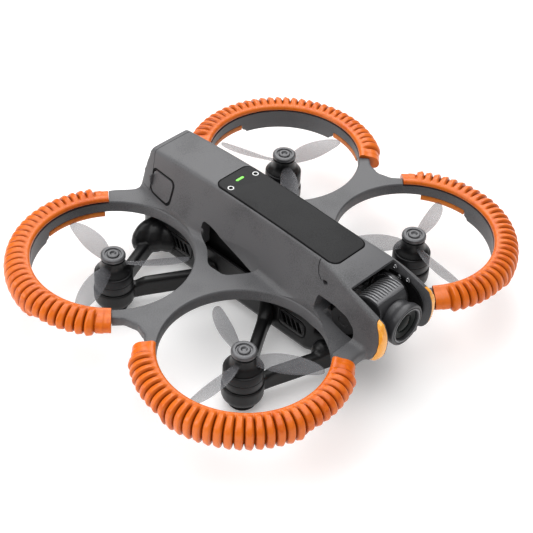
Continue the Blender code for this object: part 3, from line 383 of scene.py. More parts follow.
def add(tree, kind, sockets=None, **settings):
    """Adds a node with its settings. A socket's value is a number, a colour or another node's output."""
    node = tree.nodes.new(kind)
    for key, value in settings.items():
        setattr(node, key, value)
    for key, value in (sockets or {}).items():
        if isinstance(value, bpy.types.NodeSocket):
            tree.links.new(value, node.inputs[key])
        else:
            node.inputs[key].default_value = value
    return node


def shader_of(name, roughness, metallic=0.0, **sockets):
    """New material, with its node tree and its Principled shader."""
    material = bpy.data.materials.new(name)
    material.use_nodes = True
    shader = material.node_tree.nodes["Principled BSDF"]
    shader.inputs["Metallic"].default_value = metallic
    shader.inputs["Roughness"].default_value = roughness
    for key, value in sockets.items():
        shader.inputs[key.replace("_", " ")].default_value = value
    return material, material.node_tree, shader


WANDER = 22.2  # width in millimetres of the patches where colour and roughness drift
GLOW = 1.43  # width in millimetres of the grains in a light pipe


def grained(name, dark, light, grain, roughness, depth, metallic=0.0, spread=0.1, **sockets):
    """Moulded or blasted surface. Grain is the width of its speckle and depth the height of its bumps,
    in millimetres; spread is how far the roughness drifts over a few centimetres. Real grain is 0.05 to
    0.2 mm wide, too fine to show, so it is drawn several times as coarse."""
    material, tree, shader = shader_of(name, roughness, metallic, **sockets)
    where = add(tree, "ShaderNodeTexCoord").outputs["Object"]
    speckle = add(tree, "ShaderNodeTexNoise", {"Vector": where, "Scale": 1 / (grain * MM), "Detail": 3.0})
    broad = add(tree, "ShaderNodeTexNoise", {"Vector": where, "Scale": 1 / (WANDER * MM), "Detail": 2.0})
    blend = add(tree, "ShaderNodeMath", {0: speckle.outputs["Fac"], 1: broad.outputs["Fac"]}, operation="ADD")
    ramp = add(tree, "ShaderNodeValToRGB", {"Fac": blend.outputs[0]})
    ramp.color_ramp.elements[0].position = 0.75
    ramp.color_ramp.elements[0].color = colour(dark)
    ramp.color_ramp.elements[1].position = 1.0
    ramp.color_ramp.elements[1].color = colour(light)
    tree.links.new(ramp.outputs["Color"], shader.inputs["Base Color"])
    rough = add(tree, "ShaderNodeMapRange", {"Value": broad.outputs["Fac"], "To Min": roughness - spread,
                                             "To Max": roughness + spread})
    tree.links.new(rough.outputs["Result"], shader.inputs["Roughness"])
    bump = add(tree, "ShaderNodeBump", {"Height": speckle.outputs["Fac"], "Distance": depth * MM,
                                        "Strength": 0.6})
    tree.links.new(bump.outputs["Normal"], shader.inputs["Normal"])
    return material


def make_materials():
    """One material for each finish, named for what it is made of and how."""
    return {
        # Glass-filled ABS from a spark-eroded mould: dark neutral grey, a fine pale speckle, no gloss.
        "shell": grained("moulded_grey_abs", "464648", "5A5A5C", 0.5, 0.45, 0.03, spread=0.05),
        # Black ABS with a fine etched texture: dull, with no clear reflection.
        "panel": grained("textured_black_abs", "1E1E1F", "29292A", 0.45, 0.58, 0.02, spread=0.04,
                         Specular_IOR_Level=0.2),
        # Black glass-filled nylon: nearly black, with soft wide highlights.
        "chassis": grained("black_filled_nylon", "0B0B0C", "141415", 0.7, 0.36, 0.02,
                           Specular_IOR_Level=0.3),
        # Thermoplastic rubber, gloss from the mould with a waxy sheen: saturated orange.
        "bumper": grained("orange_rubber", "D65E0A", "E46E12", 2.4, 0.29, 0.02, spread=0.05,
                          Specular_IOR_Level=0.42),
        # The thin flaps of the same rubber let light through, so that they look paler.
        "flap": grained("thin_orange_rubber", "C86410", "DC781C", 2.4, 0.45, 0.02),
        # Polished amber acrylic of the light windows: warm yellow with a sharp gloss.
        "lamp": grained("amber_acrylic", "F59A1E", "FFB13C", 3.0, 0.22, 0.004, spread=0.03,
                        Coat_Weight=0.6),
        # Printed white ring under a clear coat.
        "ring": grained("white_print", "D8D8D8", "F2F2F2", 0.6, 0.35, 0.002, spread=0.03),
        # Hard black anodising on turned aluminium: dark with bright narrow highlights.
        "motor": grained("black_anodised_aluminium", "101011", "18181A", 0.5, 0.34, 0.004, metallic=0.4,
                         spread=0.05, Specular_IOR_Level=0.35),
        # Grey anodised cap, whose turned rings catch the light.
        "cap": grained("dark_anodised_aluminium", "4C4C4E", "5C5C5E", 0.5, 0.34, 0.004, metallic=0.4,
                       spread=0.05),
        # Enamelled copper wire: brown-red with warm glints.
        "copper": grained("enamelled_copper", "4A2410", "6E3A1C", 0.4, 0.3, 0.03, metallic=0.9),
        # Smoky polycarbonate propeller, so thin that it lets much of the light through.
        "propeller": grained("smoky_polycarbonate", "5A5A5E", "66666A", 3.0, 0.3, 0.003, spread=0.05,
                             Alpha=0.42),
        # Matt moulded rubber: black that gives back almost no light.
        "foot": grained("black_rubber", "080809", "101011", 0.8, 0.7, 0.04, Specular_IOR_Level=0.15),
        # Satin paint on cast magnesium: dark grey with a soft sheen.
        "camera": grained("dark_satin_coat", "2E2E30", "3A3A3C", 0.6, 0.36, 0.01, metallic=0.15,
                          spread=0.05),
        # Bead-blasted aluminium: even mid grey, whose ribs catch the light.
        "cooler": grained("blasted_aluminium", "6C6C6E", "7C7C7E", 0.5, 0.4, 0.015, metallic=0.4),
        # Coated front glass: black with a faint green cast.
        "glass": grained("coated_glass", "020504", "060D0A", 6.0, 0.16, 0.0, spread=0.02,
                         IOR=1.14),
        # Glass-epoxy laminate under green solder mask: deep green with a satin skin.
        "board": grained("board_laminate", "0E3A22", "16502F", 1.2, 0.45, 0.02),
        # Plated turned steel: bright, with small hard glints.
        "steel": grained("bright_steel", "9A9A9C", "B4B4B6", 0.4, 0.25, 0.004, metallic=1.0,
                         spread=0.05),
    }


def make_light(name, code, strength):
    """Frosted light pipe that glows a little unevenly: saturated green with paler grains."""
    material, tree, shader = shader_of(name, 0.3)
    where = add(tree, "ShaderNodeTexCoord").outputs["Object"]
    glow = add(tree, "ShaderNodeTexNoise", {"Vector": where, "Scale": 1 / (GLOW * MM)})
    ramp = add(tree, "ShaderNodeValToRGB", {"Fac": glow.outputs["Fac"]})
    ramp.color_ramp.elements[0].color = colour(code)
    ramp.color_ramp.elements[1].color = colour("8CE85A")
    tree.links.new(ramp.outputs["Color"], shader.inputs["Base Color"])
    tree.links.new(ramp.outputs["Color"], shader.inputs["Emission Color"])
    shader.inputs["Emission Strength"].default_value = strength
    return material


# Dark orange painted into the bumpers' grooves as shade, where ambient occlusion finds them.
GROOVE_SHADE = "7A2E06"
GROOVE_SHADE_POWER = 1.25  # above 1, the darkening starts sooner


def paint_groove_shade(material, reach):
    """Paints shade: pulls the colour towards the dark groove shade where a surface faces itself within this
    reach, in millimetres.
    """
    tree = material.node_tree
    shader = tree.nodes["Principled BSDF"]
    base = shader.inputs["Base Color"].links[0].from_socket
    shade = add(tree, "ShaderNodeAmbientOcclusion", {"Distance": reach * MM}, samples=8)
    depth = add(tree, "ShaderNodeMath", {0: shade.outputs["AO"], 1: GROOVE_SHADE_POWER}, operation="POWER")
    mixed = add(tree, "ShaderNodeMix", {0: depth.outputs[0], 6: colour(GROOVE_SHADE), 7: base},
                data_type="RGBA")
    tree.links.new(mixed.outputs[2], shader.inputs["Base Color"])


LOOKS = make_materials()
# The bumpers get painted shade in their grooves.
paint_groove_shade(LOOKS["bumper"], 3.0)
LOOKS["green_light"] = make_light("green_light_pipe", "5FD030", 0.25)


def place(piece, look, body, slot, *nodes, angle=30):
    """Gives a finished piece its material and its body, and hides the CAD nodes that it stands for."""
    choose(piece)
    piece.data.materials.clear()
    piece.data.materials.append(LOOKS[look])
    bpy.ops.object.shade_smooth_by_angle(angle=math.radians(angle))
    if nodes:
        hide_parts(*nodes)
    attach(piece, body)
    return piece


# ---------------------------------------------------------------- upper shell


def hull_section(row):
    """Corners of one cross-section, from the left skirt over the deck to the right skirt."""
    y, deck, top, skirt = row
    side = [(skirt, HULL_FLOOR)]
    for share in FLARE:
        side.append((deck + (skirt - deck) * share**FLARE_POWER, top - (top - DUCT_TOP) * share))
    side += [(deck, top - SHOULDER), (deck - 0.45, top - 0.55), (deck - SHOULDER, top)]
    return [(x, y, z) for x, z in side + [(-x, z) for x, z in reversed(side)]]


def hull():
    """Spine and fork as one smooth solid, longer than the finished shell at both ends."""
    shape = loft("hull", [hull_section(row) for row in HULL])
    refine(shape, "SUBSURF", levels=3, render_levels=3)
    return shape


def skirt_at(y):
    """Half width of the skirt, read between the hull's rows."""
    for (y1, _, _, s1), (y0, _, _, s0) in zip(HULL, HULL[1:]):
        if y0 <= y <= y1:
            return s0 + (s1 - s0) * (y - y0) / (y1 - y0)
    return HULL[0][3] if y > 0 else HULL[-1][3]


def duct_disc(corner):
    """Duct still filled, its rim rounded over."""
    profile = ((0, DUCT_FLOOR), (DUCT_RIM - 1, DUCT_FLOOR), (DUCT_RIM, DUCT_FLOOR + 1),
               (DUCT_RIM, DUCT_TOP - 1.6), (DUCT_RIM - 0.6, DUCT_TOP - 0.5), (DUCT_RIM - 2.0, DUCT_TOP),
               (0, DUCT_TOP))
    return turned("disc", profile, 120, at_motor(corner))


def swept(name, profile, start, end, steps, spot=Matrix()):
    """Closed (radius, height) outline spun from one angle to another, its ends closed."""
    piece = line(name, profile)
    tests = [near((r, 0, z)) for r, z in (profile[0], profile[-1])]
    pick(lambda vertex: tests[0](vertex) or tests[1](vertex))
    bpy.ops.mesh.edge_face_add()
    bpy.ops.mesh.select_all(action="SELECT")
    bpy.ops.mesh.spin(steps=steps, angle=math.radians(end - start), center=(0, 0, 0), axis=(0, 0, -1))
    pick(lambda edge: edge.is_boundary, "EDGE")
    bpy.ops.mesh.edge_face_add()
    bpy.ops.mesh.select_all(action="SELECT")
    bpy.ops.mesh.normals_make_consistent(inside=False)
    done()
    return move(piece, spot @ Matrix.Rotation(math.radians(start), 4, "Z"))


def sector(name, profile, start, end, corner, steps=40):
    """Ring segment round a duct, of the front left corner's hand."""
    return swept(name, profile, start, end, steps, at_motor(corner) @ Matrix.Diagonal((*corner, 1, 1)))


def soften_junctions(shell):
    """Blends the flanks of the spine into the ducts with wide fillets."""
    group = shell.vertex_groups.new(name="fillet")
    levels = {}
    for vertex in shell.data.vertices:
        x, y, z = vertex.co / MM
        gap = math.hypot(abs(x) - skirt_at(y) - 1.0, z - DUCT_TOP - 0.5)
        weight = round(min(1.0, max(0.0, 1.3 - gap / 9)), 1)
        levels.setdefault(weight, []).append(vertex.index)
    for weight, indices in levels.items():
        group.add(indices, weight, "REPLACE")
    refine(shell, "SMOOTH", factor=0.5, iterations=90, vertex_group="fillet")
    refine(shell, "SMOOTH", factor=0.5, iterations=7)
    shell.vertex_groups.clear()


def master_shell():
    """Whole upper shell as one organic shape, before its openings are cut."""
    shell = hull()
    keep(shell, slab("side_view", SIDE_VIEW, -60, 60, SIDEWAYS))
    for side in SIDES.values():
        for corners, low in ((WEB, WEB_FLOOR), (TAIL_WEB, DUCT_FLOOR), (NOSE_WEB, DUCT_FLOOR)):
            add_to(shell, slab("web", [(side * x, y) for x, y in corners], low, DUCT_TOP))
    for corner in CORNERS.values():
        add_to(
            shell,
            duct_disc(corner),
            sector("deep_wall", ((39, 24.2), (43.2, 24.2), (43.2, 31), (39, 31)), 2, 78, corner),
            sector("deeper_wall", ((39, 22.6), (43.2, 22.6), (43.2, 31), (39, 31)), 5, 75, corner),
        )
    refine(shell, "REMESH", mode="VOXEL", voxel_size=0.6 * MM)
    soften_junctions(shell)
    refine(shell, "DECIMATE", ratio=0.32)
    return shell


def clip_corners(margin):
    """Side view of a grip, its edges moved outwards by the margin."""
    y0, z0, y1, z1 = CLIP
    return rectangle(y0 - margin, z0 - margin, y1 + margin, z1 + margin)


def lamp_region(margin):
    """Side view of all that lies ahead of a nose lamp."""
    back = [(y + margin, z) for y, z in LAMP_BACK]
    return back + [(-99, back[-1][1] - 0.5), (-99, back[0][1] + 1)]


def bore_tool(corner):
    profile = ((0, 10), (DUCT_BORE + 0.5, 10), (DUCT_BORE + 0.5, 28.6), (DUCT_BORE, 28.9),
               (DUCT_BORE, DUCT_TOP - 0.8), (DUCT_BORE + 0.25, DUCT_TOP - 0.3),
               (DUCT_BORE + 0.7, DUCT_TOP - 0.02), (DUCT_BORE + 0.7, 60), (0, 60))
    return turned("bore", profile, 180, at_motor(corner))


def panel_tool(shell_hull):
    """All that lies above the panel's seat, within its outline."""
    half, rear, front = PANEL
    tool = slab("panel_tool", rectangle(-half - PANEL_GAP, front - PANEL_GAP, half + PANEL_GAP,
                rear + PANEL_GAP), 50, 80, soften=PANEL_CORNER + PANEL_GAP, steps=10)
    seat = copy(shell_hull, "seat", at(0, 0, -1.75))
    return cut(tool, seat)


def open_shell(shell, uncut):
    """Cuts the ducts, windows, bays, pockets and seats into the shell."""
    seat = ((43.1, 19), (60, 19), (60, 50), (39, 50), (39, 33.3), (43.1, 33.3))
    for corner in CORNERS.values():
        bumper_seat = sector("seat", seat, BUMPER_ARC[0] - 0.3, BUMPER_ARC[1] + 0.3, corner, 90)
        cut(shell, bore_tool(corner), bumper_seat)
    cut(shell, block("cap_space", (-40, CAP_SEAM, CAP_FLOOR - 0.3), (40, 100, 90)))
    for side in SIDES.values():
        window = [(side * x, y) for x, y in WINDOW]
        cut(
            shell,
            slab("window", window, 20, DUCT_TOP + 9, soften=2.6, steps=6),
            side_slab("cheek_window", CHEEK_WINDOW, side, 11, 40, soften=1.4, steps=4),
            side_slab("cheek_hollow", CHEEK_HOLLOW, side, 11, 16.8, soften=2.0, steps=4),
            side_slab("undercut", UNDERCUT, side, 13.3, 19.4, soften=1.5, steps=5),
            side_slab("cheek_seam", CHEEK_SEAM, side, 12.4, 40),
            side_slab("cheek_hole", CHEEK_HOLE, side, 12.6, 40, soften=0.7, steps=4),
            side_slab("lamp_seat", lamp_region(0.3), side, 15.8, 40),
            side_slab("clip_seat", clip_corners(1.0), side, 10.4, 40, soften=CLIP_CORNER + 0.8, steps=8),
        )
    bay = ((13.2, -53.5), (13.2, -63.5), (15, -67.5), (15.8, -100), (-15.8, -100), (-15, -67.5),
           (-13.2, -63.5), (-13.2, -53.5))
    cut(shell, slab("bay", bay, 10, 57.2, soften=0.4, steps=3))
    cut(shell, slab("bay_top", bay[2:6], 40, 90, soften=0.6, steps=4))
    cut(
        shell,
        block("battery_bay", (-10.9, -26, 33.2), (10.9, 100, 59)),
        block("front_bay", (-10.9, -51.5, 10), (10.9, -28, 59)),
        block("tray_bay", (-13.4, -49, 10), (13.4, 66, 33.2)),
        panel_tool(uncut),
    )
    return shell


def upper_shell():
    """Shell, battery cap, grips and lamps, all cut from one form so that their faces meet."""
    uncut = hull()
    shell = master_shell()
    cap = keep(copy(shell, "battery_cap_shell"), block("cap_block", (-40, CAP_SEAM + 0.3, CAP_FLOOR),
                                                       (40, 100, 90)))
    lean = math.radians(TAIL_LEAN)
    rear = Vector((0, TAIL_Y - (BUTTON_Z - DUCT_TOP) * math.tan(lean), BUTTON_Z))
    upright = Matrix.Rotation(-math.pi / 2 + lean, 4, "X")
    cut(cap, turned("button_well", ((0, -2.9), (4.5, -2.9), (4.5, 6), (0, 6)), 48,
                    Matrix.Translation(rear * MM) @ upright))
    level = Vector((0, TAIL_Y - (LEVEL_Z - DUCT_TOP) * math.tan(lean), LEVEL_Z))
    cut(cap, slab("level_well", rectangle(-5.12, -0.92, 5.12, 0.92), -0.92, 5,
                  Matrix.Translation(level * MM) @ upright, soften=0.85, steps=5))
    place(cap, "shell", "battery", "shell_grey_abs", "battery_cap", angle=40)
    for name, side in SIDES.items():
        clip = keep(
            copy(shell, f"grip_{name}"),
            side_slab("clip_block", clip_corners(-0.4), side, 12.2, 40, soften=CLIP_CORNER, steps=8),
        )
        # Black ring round each grip, set in a little: painted shade in the gap round the grip.
        rim = keep(
            copy(shell, f"grip_shadow_rim_{name}"),
            side_slab("shadow_rim_block", clip_corners(0.95), side, 11, 40, soften=CLIP_CORNER + 0.8, steps=8),
        )
        cut(rim, side_slab("shadow_rim_hole", clip_corners(-0.1), side, 10, 41, soften=CLIP_CORNER + 0.1, steps=8))
        place(move(rim, at(-0.3 * side, 0, 0)), "foot", "airframe", "chassis_black_nylon")
        clip_edge = side_slab("strip", rectangle(66.2, 41.5, 66.75, 48.0), side, 12.4, 17.2, soften=0.2)
        place(clip_edge, "steel", f"clip_{name}", "panel_black")
        place(clip, "shell", f"clip_{name}", "panel_black", f"battery_clip_{name}", angle=40)
        lamp = keep(copy(shell, f"nose_light_{name}"),
                    side_slab("lamp_block", lamp_region(0), side, 16.0, 40))
        place(lamp, "lamp", "airframe", "lamp_amber", f"nose_lamp_{name}", angle=40)
    open_shell(shell, uncut)
    bpy.data.objects.remove(uncut, do_unlink=True)
    shell.name = "frame_shell"
    place(shell, "shell", "airframe", "shell_grey_abs", "upper_frame", angle=40)


# ---------------------------------------------------------------- bumpers

RIBS = 30
RIB_STEPS = 8
SLEEVE_STEPS = 14
BUMPER_STEPS = RIBS * RIB_STEPS + 2 * SLEEVE_STEPS
BUMPER_ARC = (-48, 128)  # degrees from outward X towards outward Y
DEEP_ARC = (2, 78)
BUMPER_PROFILE = (
    (40.2, 33.6), (40.1, 35.4), (41.0, 36.5), (42.6, 36.6), (44.4, 36.9), (46.6, 36.9), (48.8, 36.3),
    (50.8, 35.0), (52.0, 33.2), (52.6, 31.2), (52.2, 29.2), (51.0, 27.6), (49.0, 26.8), (46.6, 26.8),
    (43.6, 26.8), (43.4, 30.0), (43.4, 33.4),
)
RIB_PROFILE = (-1.5, 0.15, 0.45, 0.6, 0.62, 0.6, 0.45, 0.15)  # height of each step of a rib


def bumper_angle(vertex):
    return math.degrees(math.atan2(vertex.co.y, vertex.co.x))


def rib_step(vertex):
    """Steps round the duct from the start of the first rib; it is below zero on the first sleeve."""
    turn = (bumper_angle(vertex) - BUMPER_ARC[0]) % 360
    return round(turn * BUMPER_STEPS / (BUMPER_ARC[1] - BUMPER_ARC[0])) - SLEEVE_STEPS


def within_ribs(vertex, margin=0.0):
    """Whether a point is between the first rib and the last, or this many steps past them."""
    return -margin <= rib_step(vertex) <= RIBS * RIB_STEPS + margin


def is_outer(vertex):
    """Whether a point is on the ribbed outside, away from the inner lip and the seat."""
    radius = math.hypot(vertex.co.x, vertex.co.y) / MM
    return radius > 43.0 and not (radius < 43.5 and vertex.co.z > 28 * MM and vertex.co.z < 34 * MM)


def make_bumper():
    """Ribbed sleeve for the duct of the front left motor, before it is mirrored to its corner."""
    piece = line("bumper", BUMPER_PROFILE)
    ends = (BUMPER_PROFILE[0], BUMPER_PROFILE[-1])
    tests = [near((r, 0, z)) for r, z in ends]
    pick(lambda vertex: tests[0](vertex) or tests[1](vertex))
    bpy.ops.mesh.edge_face_add()
    bpy.ops.mesh.select_all(action="SELECT")
    start = math.radians(BUMPER_ARC[0])
    bpy.ops.mesh.spin(steps=BUMPER_STEPS, angle=math.radians(BUMPER_ARC[1] - BUMPER_ARC[0]),
                      center=(0, 0, 0), axis=(0, 0, -1))
    done()
    move(piece, Matrix.Rotation(start, 4, "Z"))
    edit(piece)
    bpy.ops.mesh.select_all(action="SELECT")
    bpy.ops.mesh.normals_make_consistent(inside=False)
    for phase, height in enumerate(RIB_PROFILE):
        if height:
            pick(lambda vertex: is_outer(vertex) and within_ribs(vertex)
                 and rib_step(vertex) % RIB_STEPS == phase)
            bpy.ops.transform.shrink_fatten(value=height * MM)
    pick(lambda vertex: is_outer(vertex) and not within_ribs(vertex))
    bpy.ops.transform.shrink_fatten(value=-0.9 * MM)
    pick(lambda vertex: is_outer(vertex) and not within_ribs(vertex, SLEEVE_STEPS / 2))
    bpy.ops.transform.shrink_fatten(value=-0.3 * MM)
    pick(lambda edge: all(is_outer(v) and v.co.z > 24 * MM and within_ribs(v)
                          and rib_step(v) % RIB_STEPS == 0 for v in edge.verts), "EDGE")
    bpy.ops.transform.edge_crease(value=0.7)
    for low, high, drop in ((0, 28.0, 3.8), (28.0, 29.7, 2.6), (29.7, 31.8, 1.2)):
        pick(lambda vertex: DEEP_ARC[0] < bumper_angle(vertex) < DEEP_ARC[1]
             and low * MM <= vertex.co.z < high * MM)
        shift(0, 0, -drop)
    pick(lambda edge: edge.is_boundary, "EDGE")
    bpy.ops.mesh.edge_face_add()
    bpy.ops.mesh.select_all(action="SELECT")
    bpy.ops.mesh.normals_make_consistent(inside=False)
    pick(lambda edge: len(edge.link_faces) == 2 and any(len(f.verts) > 4 for f in edge.link_faces), "EDGE")
    bpy.ops.transform.edge_crease(value=0.8)
    done()
    refine(piece, "SUBSURF", levels=1, render_levels=1)
    return piece


def make_flaps():
    """Two clips that hook under the duct on either side of its deep part."""
    profile = ((40.5, 24.7), (40.3, 25.6), (40.5, 27.4), (41.2, 27.7), (46.0, 27.7), (46.3, 27.2),
               (46.3, 25.9), (45.8, 25.6), (42.0, 25.6), (41.4, 24.7))
    pieces = []
    for start, end in ((-34, 1), (79, 125)):
        piece = swept("flap", profile, start, end, 36)
        pieces.append(rounded_edges(piece, 0.2, 2))
    return join(*pieces)


def bumpers():
    """One bumper and its flaps, mirrored to the four ducts."""
    bumper, flaps = make_bumper(), make_flaps()
    for name, (sx, sy) in CORNERS.items():
        there = at_motor((sx, sy)) @ Matrix.Diagonal((sx, sy, 1, 1))
        place(copy(bumper, f"guard_{name}", there), "bumper", "airframe", "bumper_orange_rubber",
              f"bumper_{name}", angle=60)
        place(copy(flaps, f"guard_clips_{name}", there), "flap", "airframe", "bumper_orange_rubber")
    for piece in (bumper, flaps):
        bpy.data.objects.remove(piece, do_unlink=True)


# ---------------------------------------------------------------- motors and propellers


def make_bell():
    """Bell with a chamfered crown and openings between its spokes."""
    profile = ((1.0, 31.3), (1.0, 23.6), (5.6, 23.9), (8.6, 23.9), (9.3, 23.6), (9.7, 22.9), (9.7, 19.4),
               (9.55, 19.2), (9.55, 18.9), (9.7, 18.7), (9.7, 14.7), (9.5, 14.35), (8.7, 14.35),
               (8.6, 22.8), (1.0, 22.8), (1.0, 8.9), (0, 8.9))
    bell = turned("bell", ((0, 31.3),) + profile, 72)
    window = [(4.0, -1.0), (7.6, -1.9), (7.6, 1.9), (4.0, 1.0)]
    for i in range(7):
        cut(bell, slab("opening", window, 22, 30, Matrix.Rotation(i * math.tau / 7, 4, "Z"), soften=0.5,
                       steps=3))
    return bell


def make_windings():
    """Copper coils on their iron teeth, round the stator's ring."""
    pieces = [turned("ring", ((1.5, 14.3), (4.6, 14.3), (4.6, 21.6), (1.5, 21.6)), 48, ring=True)]
    for i in range(12):
        coil = block("coil", (4.4, -0.95, 14.5), (7.3, 0.95, 21.5), 0.5)
        turn = Matrix.Rotation(i * math.tau / 12, 4, "Z")
        tooth = block("tooth", (7.2, -1.5, 14.6), (7.85, 1.5, 21.4), 0.15)
        pieces += [move(coil, turn), move(tooth, turn)]
    return join(*pieces)


def make_hub_cap():
    """Turned cap: an outer chamfer, a flat ring, a groove and a domed boss with a centre dimple."""
    profile = ((0, 31.7), (5.2, 31.7), (5.35, 32.2), (5.9, 32.35), (6.2, 32.6), (6.2, 33.5), (5.95, 34.1),
               (5.3, 34.45), (4.2, 34.5), (4.0, 34.4), (3.85, 33.9),
               (3.2, 33.9), (3.0, 34.5), (2.6, 34.7), (1.7, 34.7), (1.4, 34.35), (0.9, 33.9), (0, 33.9))
    return turned("cap", profile, 72)


BLADE_Z = 27.9


def blade_section(radius, chord, pitch, sweep, thick):
    """Aerofoil across the blade at one radius."""
    tilt = math.radians(pitch)
    points = []
    for share, height in ((-0.5, 0.0), (-0.3, 0.5), (0.05, 0.62), (0.5, 0.05), (0.1, -0.25), (-0.35, -0.3)):
        u, w = share * chord, height * thick
        points.append((radius, sweep + u * math.cos(tilt) - w * math.sin(tilt),
                       BLADE_Z + u * math.sin(tilt) + w * math.cos(tilt)))
    return points


# Rows of a blade from root to tip: radius, chord, pitch in degrees, sweep, thickness.
BLADE = ((4.4, 5.5, 30, 0.0, 2.2), (8.5, 8.5, 29, 0.3, 1.7), (14, 11.6, 26, 0.4, 1.5),
         (20, 12.9, 22, 0.0, 1.3), (27, 11.6, 17, -0.6, 1.1), (33, 8.8, 13, -1.6, 0.9),
         (36.4, 5.6, 11, -2.6, 0.8), (37.6, 2.4, 10, -3.2, 0.6))


def make_propeller():
    """Three twisted blades on a hub with a rolled lower rim."""
    hub = turned("hub", ((1.15, 24.05), (8.5, 24.05), (8.75, 24.3), (8.4, 24.8), (7.2, 25.7), (6.4, 26.8),
                         (5.95, 28.4), (5.8, 30.4), (5.9, 31.1), (5.6, 31.4), (1.15, 31.4)), 64, ring=True)
    pieces = []
    for i in range(3):
        blade = loft("blade", [blade_section(*row) for row in BLADE])
        refine(blade, "SUBSURF", levels=2, render_levels=2)
        pieces.append(move(blade, Matrix.Rotation(i * math.tau / 3, 4, "Z")))
    return join(*pieces), hub


# Degrees that each propeller is turned at rest, from straight outwards.
BLADE_TURN = {"front_left": 14, "front_right": 10, "rear_left": -6, "rear_right": 18}


def motors():
    """Bell, coils, cap, propeller and foot, modelled once and copied to each corner."""
    bell, windings, cap = make_bell(), make_windings(), make_hub_cap()
    propeller, hub = make_propeller()
    foot = turned("foot", ((0, 0.0), (5.4, 0.0), (6.4, 0.25), (6.9, 0.9), (7.0, 2.0), (6.8, 2.4), (7.0, 2.8),
                           (7.0, 3.6), (0, 3.6)), 48)
    for name, (sx, sy) in CORNERS.items():
        rotor, there = f"rotor_{name}", at_motor((sx, sy))
        place(copy(bell, f"bell_{name}", there), "motor", rotor, "motor_anodised", f"motor_bell_{name}")
        place(copy(windings, f"windings_{name}", there), "copper", "airframe", "winding_copper",
              f"stator_{name}")
        place(copy(cap, f"spinner_{name}", there), "cap", rotor, "motor_anodised", f"hub_cap_{name}",
              angle=24)
        outward = 0 if sx > 0 else 180
        handed = Matrix.Diagonal((1, sx * sy, 1, 1))
        turn = Matrix.Rotation(math.radians(outward + BLADE_TURN[name]), 4, "Z")
        place(copy(propeller, f"blades_{name}", there @ turn @ handed), "propeller", rotor,
              "prop_polycarbonate", f"propeller_{name}")
        place(copy(hub, f"hub_{name}", there), "chassis", rotor, "motor_anodised")
        place(copy(foot, f"pad_{name}", there), "foot", "airframe", "foot_rubber",
              f"landing_foot_{name}")
    for piece in (bell, windings, cap, propeller, hub, foot):
        bpy.data.objects.remove(piece, do_unlink=True)


# Rounded fairings where an arm leaves the chassis: centre and half sizes.
REAR_BULGES = (((22.5, 61.5, 15.0), (11.5, 5.5, 10.0)), ((20.5, 57.5, 15.0), (8.5, 6.5, 9.0)),
               ((18.0, 54.0, 14.5), (5.5, 7.5, 8.0)))
FRONT_BULGES = (((19.0, -58.0, 13.5), (5.5, 6.0, 7.0)),)


def arms():
    """Arms whose beams flow into the motor pad and the root."""
    for name in CORNERS:
        arm = from_cad(f"motor_arm_{name}", f"arm_{name}")
        sx, sy = CORNERS[name]
        bulge = turned("bulge", ((0, -1), (0.38, -0.924), (0.707, -0.707), (0.924, -0.383), (1, 0),
                                 (0.924, 0.383), (0.707, 0.707), (0.383, 0.924), (0, 1)), 32)
        bulges = REAR_BULGES if sy > 0 else FRONT_BULGES
        arm = join(arm, *[copy(bulge, "fairing", at(sx * x, y, z) @ Matrix.Diagonal((*size, 1)))
                          for (x, y, z), size in bulges])
        bpy.data.objects.remove(bulge, do_unlink=True)
        refine(arm, "REMESH", mode="VOXEL", voxel_size=0.38 * MM)
        refine(arm, "SMOOTH", factor=0.5, iterations=25)
        refine(arm, "DECIMATE", ratio=0.35)
        place(arm, "chassis", "airframe", "chassis_black_nylon", f"motor_arm_{name}", angle=50)


# ---------------------------------------------------------------- lower chassis


VENT_Y = {"front": -36.0, "rear": 43.0}


def chassis():
    """Tub with softened edges, and its ribbed vents with a dark filter behind each."""
    tub = from_cad("lower_chassis", "tub")
    refine(tub, "REMESH", mode="VOXEL", voxel_size=0.5 * MM)
    refine(tub, "SMOOTH", factor=0.5, iterations=14)
    refine(tub, "DECIMATE", ratio=0.3)
    place(tub, "chassis", "airframe", "chassis_black_nylon", "lower_chassis", angle=50)
    for name, side in SIDES.items():
        for end in ("front", "rear"):
            node = f"side_vent_{end}_{name}"
            vent = sew_flat(from_cad(node, f"grille_{end}_{name}"))
            rounded_edges(vent, 0.15, 2)
            place(vent, "chassis", "airframe", "chassis_black_nylon", node)
            y = VENT_Y[end]
            low, high = sorted((side * 15.0, side * 15.5))
            screen = block("filter", (low, y - 8.8, 12.0), (high, y + 8.8, 21.6), 0.1, 1)
            place(screen, "foot", "airframe", "chassis_black_nylon")


RING_X = 8.5
RING_Y = 17.3
SHADE_BAND = 0.55  # width of the black band of painted shade round the inlay
SCREWS = ((-69.4, 55.6), (-72.4, 51.4), (-77.6, 52.6))


def inlay_fittings():
    """Black band of painted shade in the gap round the black inlay, and its two printed rings with a dark
    sensor in each.
    """
    # A black copy of the inlay, a little wider and lower, paints the shadow in the gap round it.
    shade_band = from_cad("top_panel", "panel_shade_band")
    half, rear, front = PANEL
    middle = (rear + front) / 2
    reach = rear - middle
    wider = Matrix.Diagonal(((half + SHADE_BAND) / half, (reach + SHADE_BAND) / reach, 1, 1))
    move(shade_band, at(0, middle, -0.45) @ wider @ at(0, -middle, 0))
    place(shade_band, "foot", "airframe", "panel_black")
    for name, side in SIDES.items():
        node = f"panel_ring_{name}"
        top = max(vertex.co.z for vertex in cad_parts[node].data.vertices) / MM
        ring = turned("ring", ((1.12, -0.7), (1.6, -0.7), (1.6, 0.0), (1.12, 0.0)), 48,
                      at(side * RING_X, RING_Y, top), ring=True)
        place(ring, "ring", "airframe", "ring_white", node)
        lens = turned("sensor", ((0, -0.7), (1.05, -0.7), (1.05, -0.1), (0.6, -0.25), (0, -0.3)), 48,
                      at(side * RING_X, RING_Y, top))
        place(lens, "glass", "airframe", "lens_dark_glass")


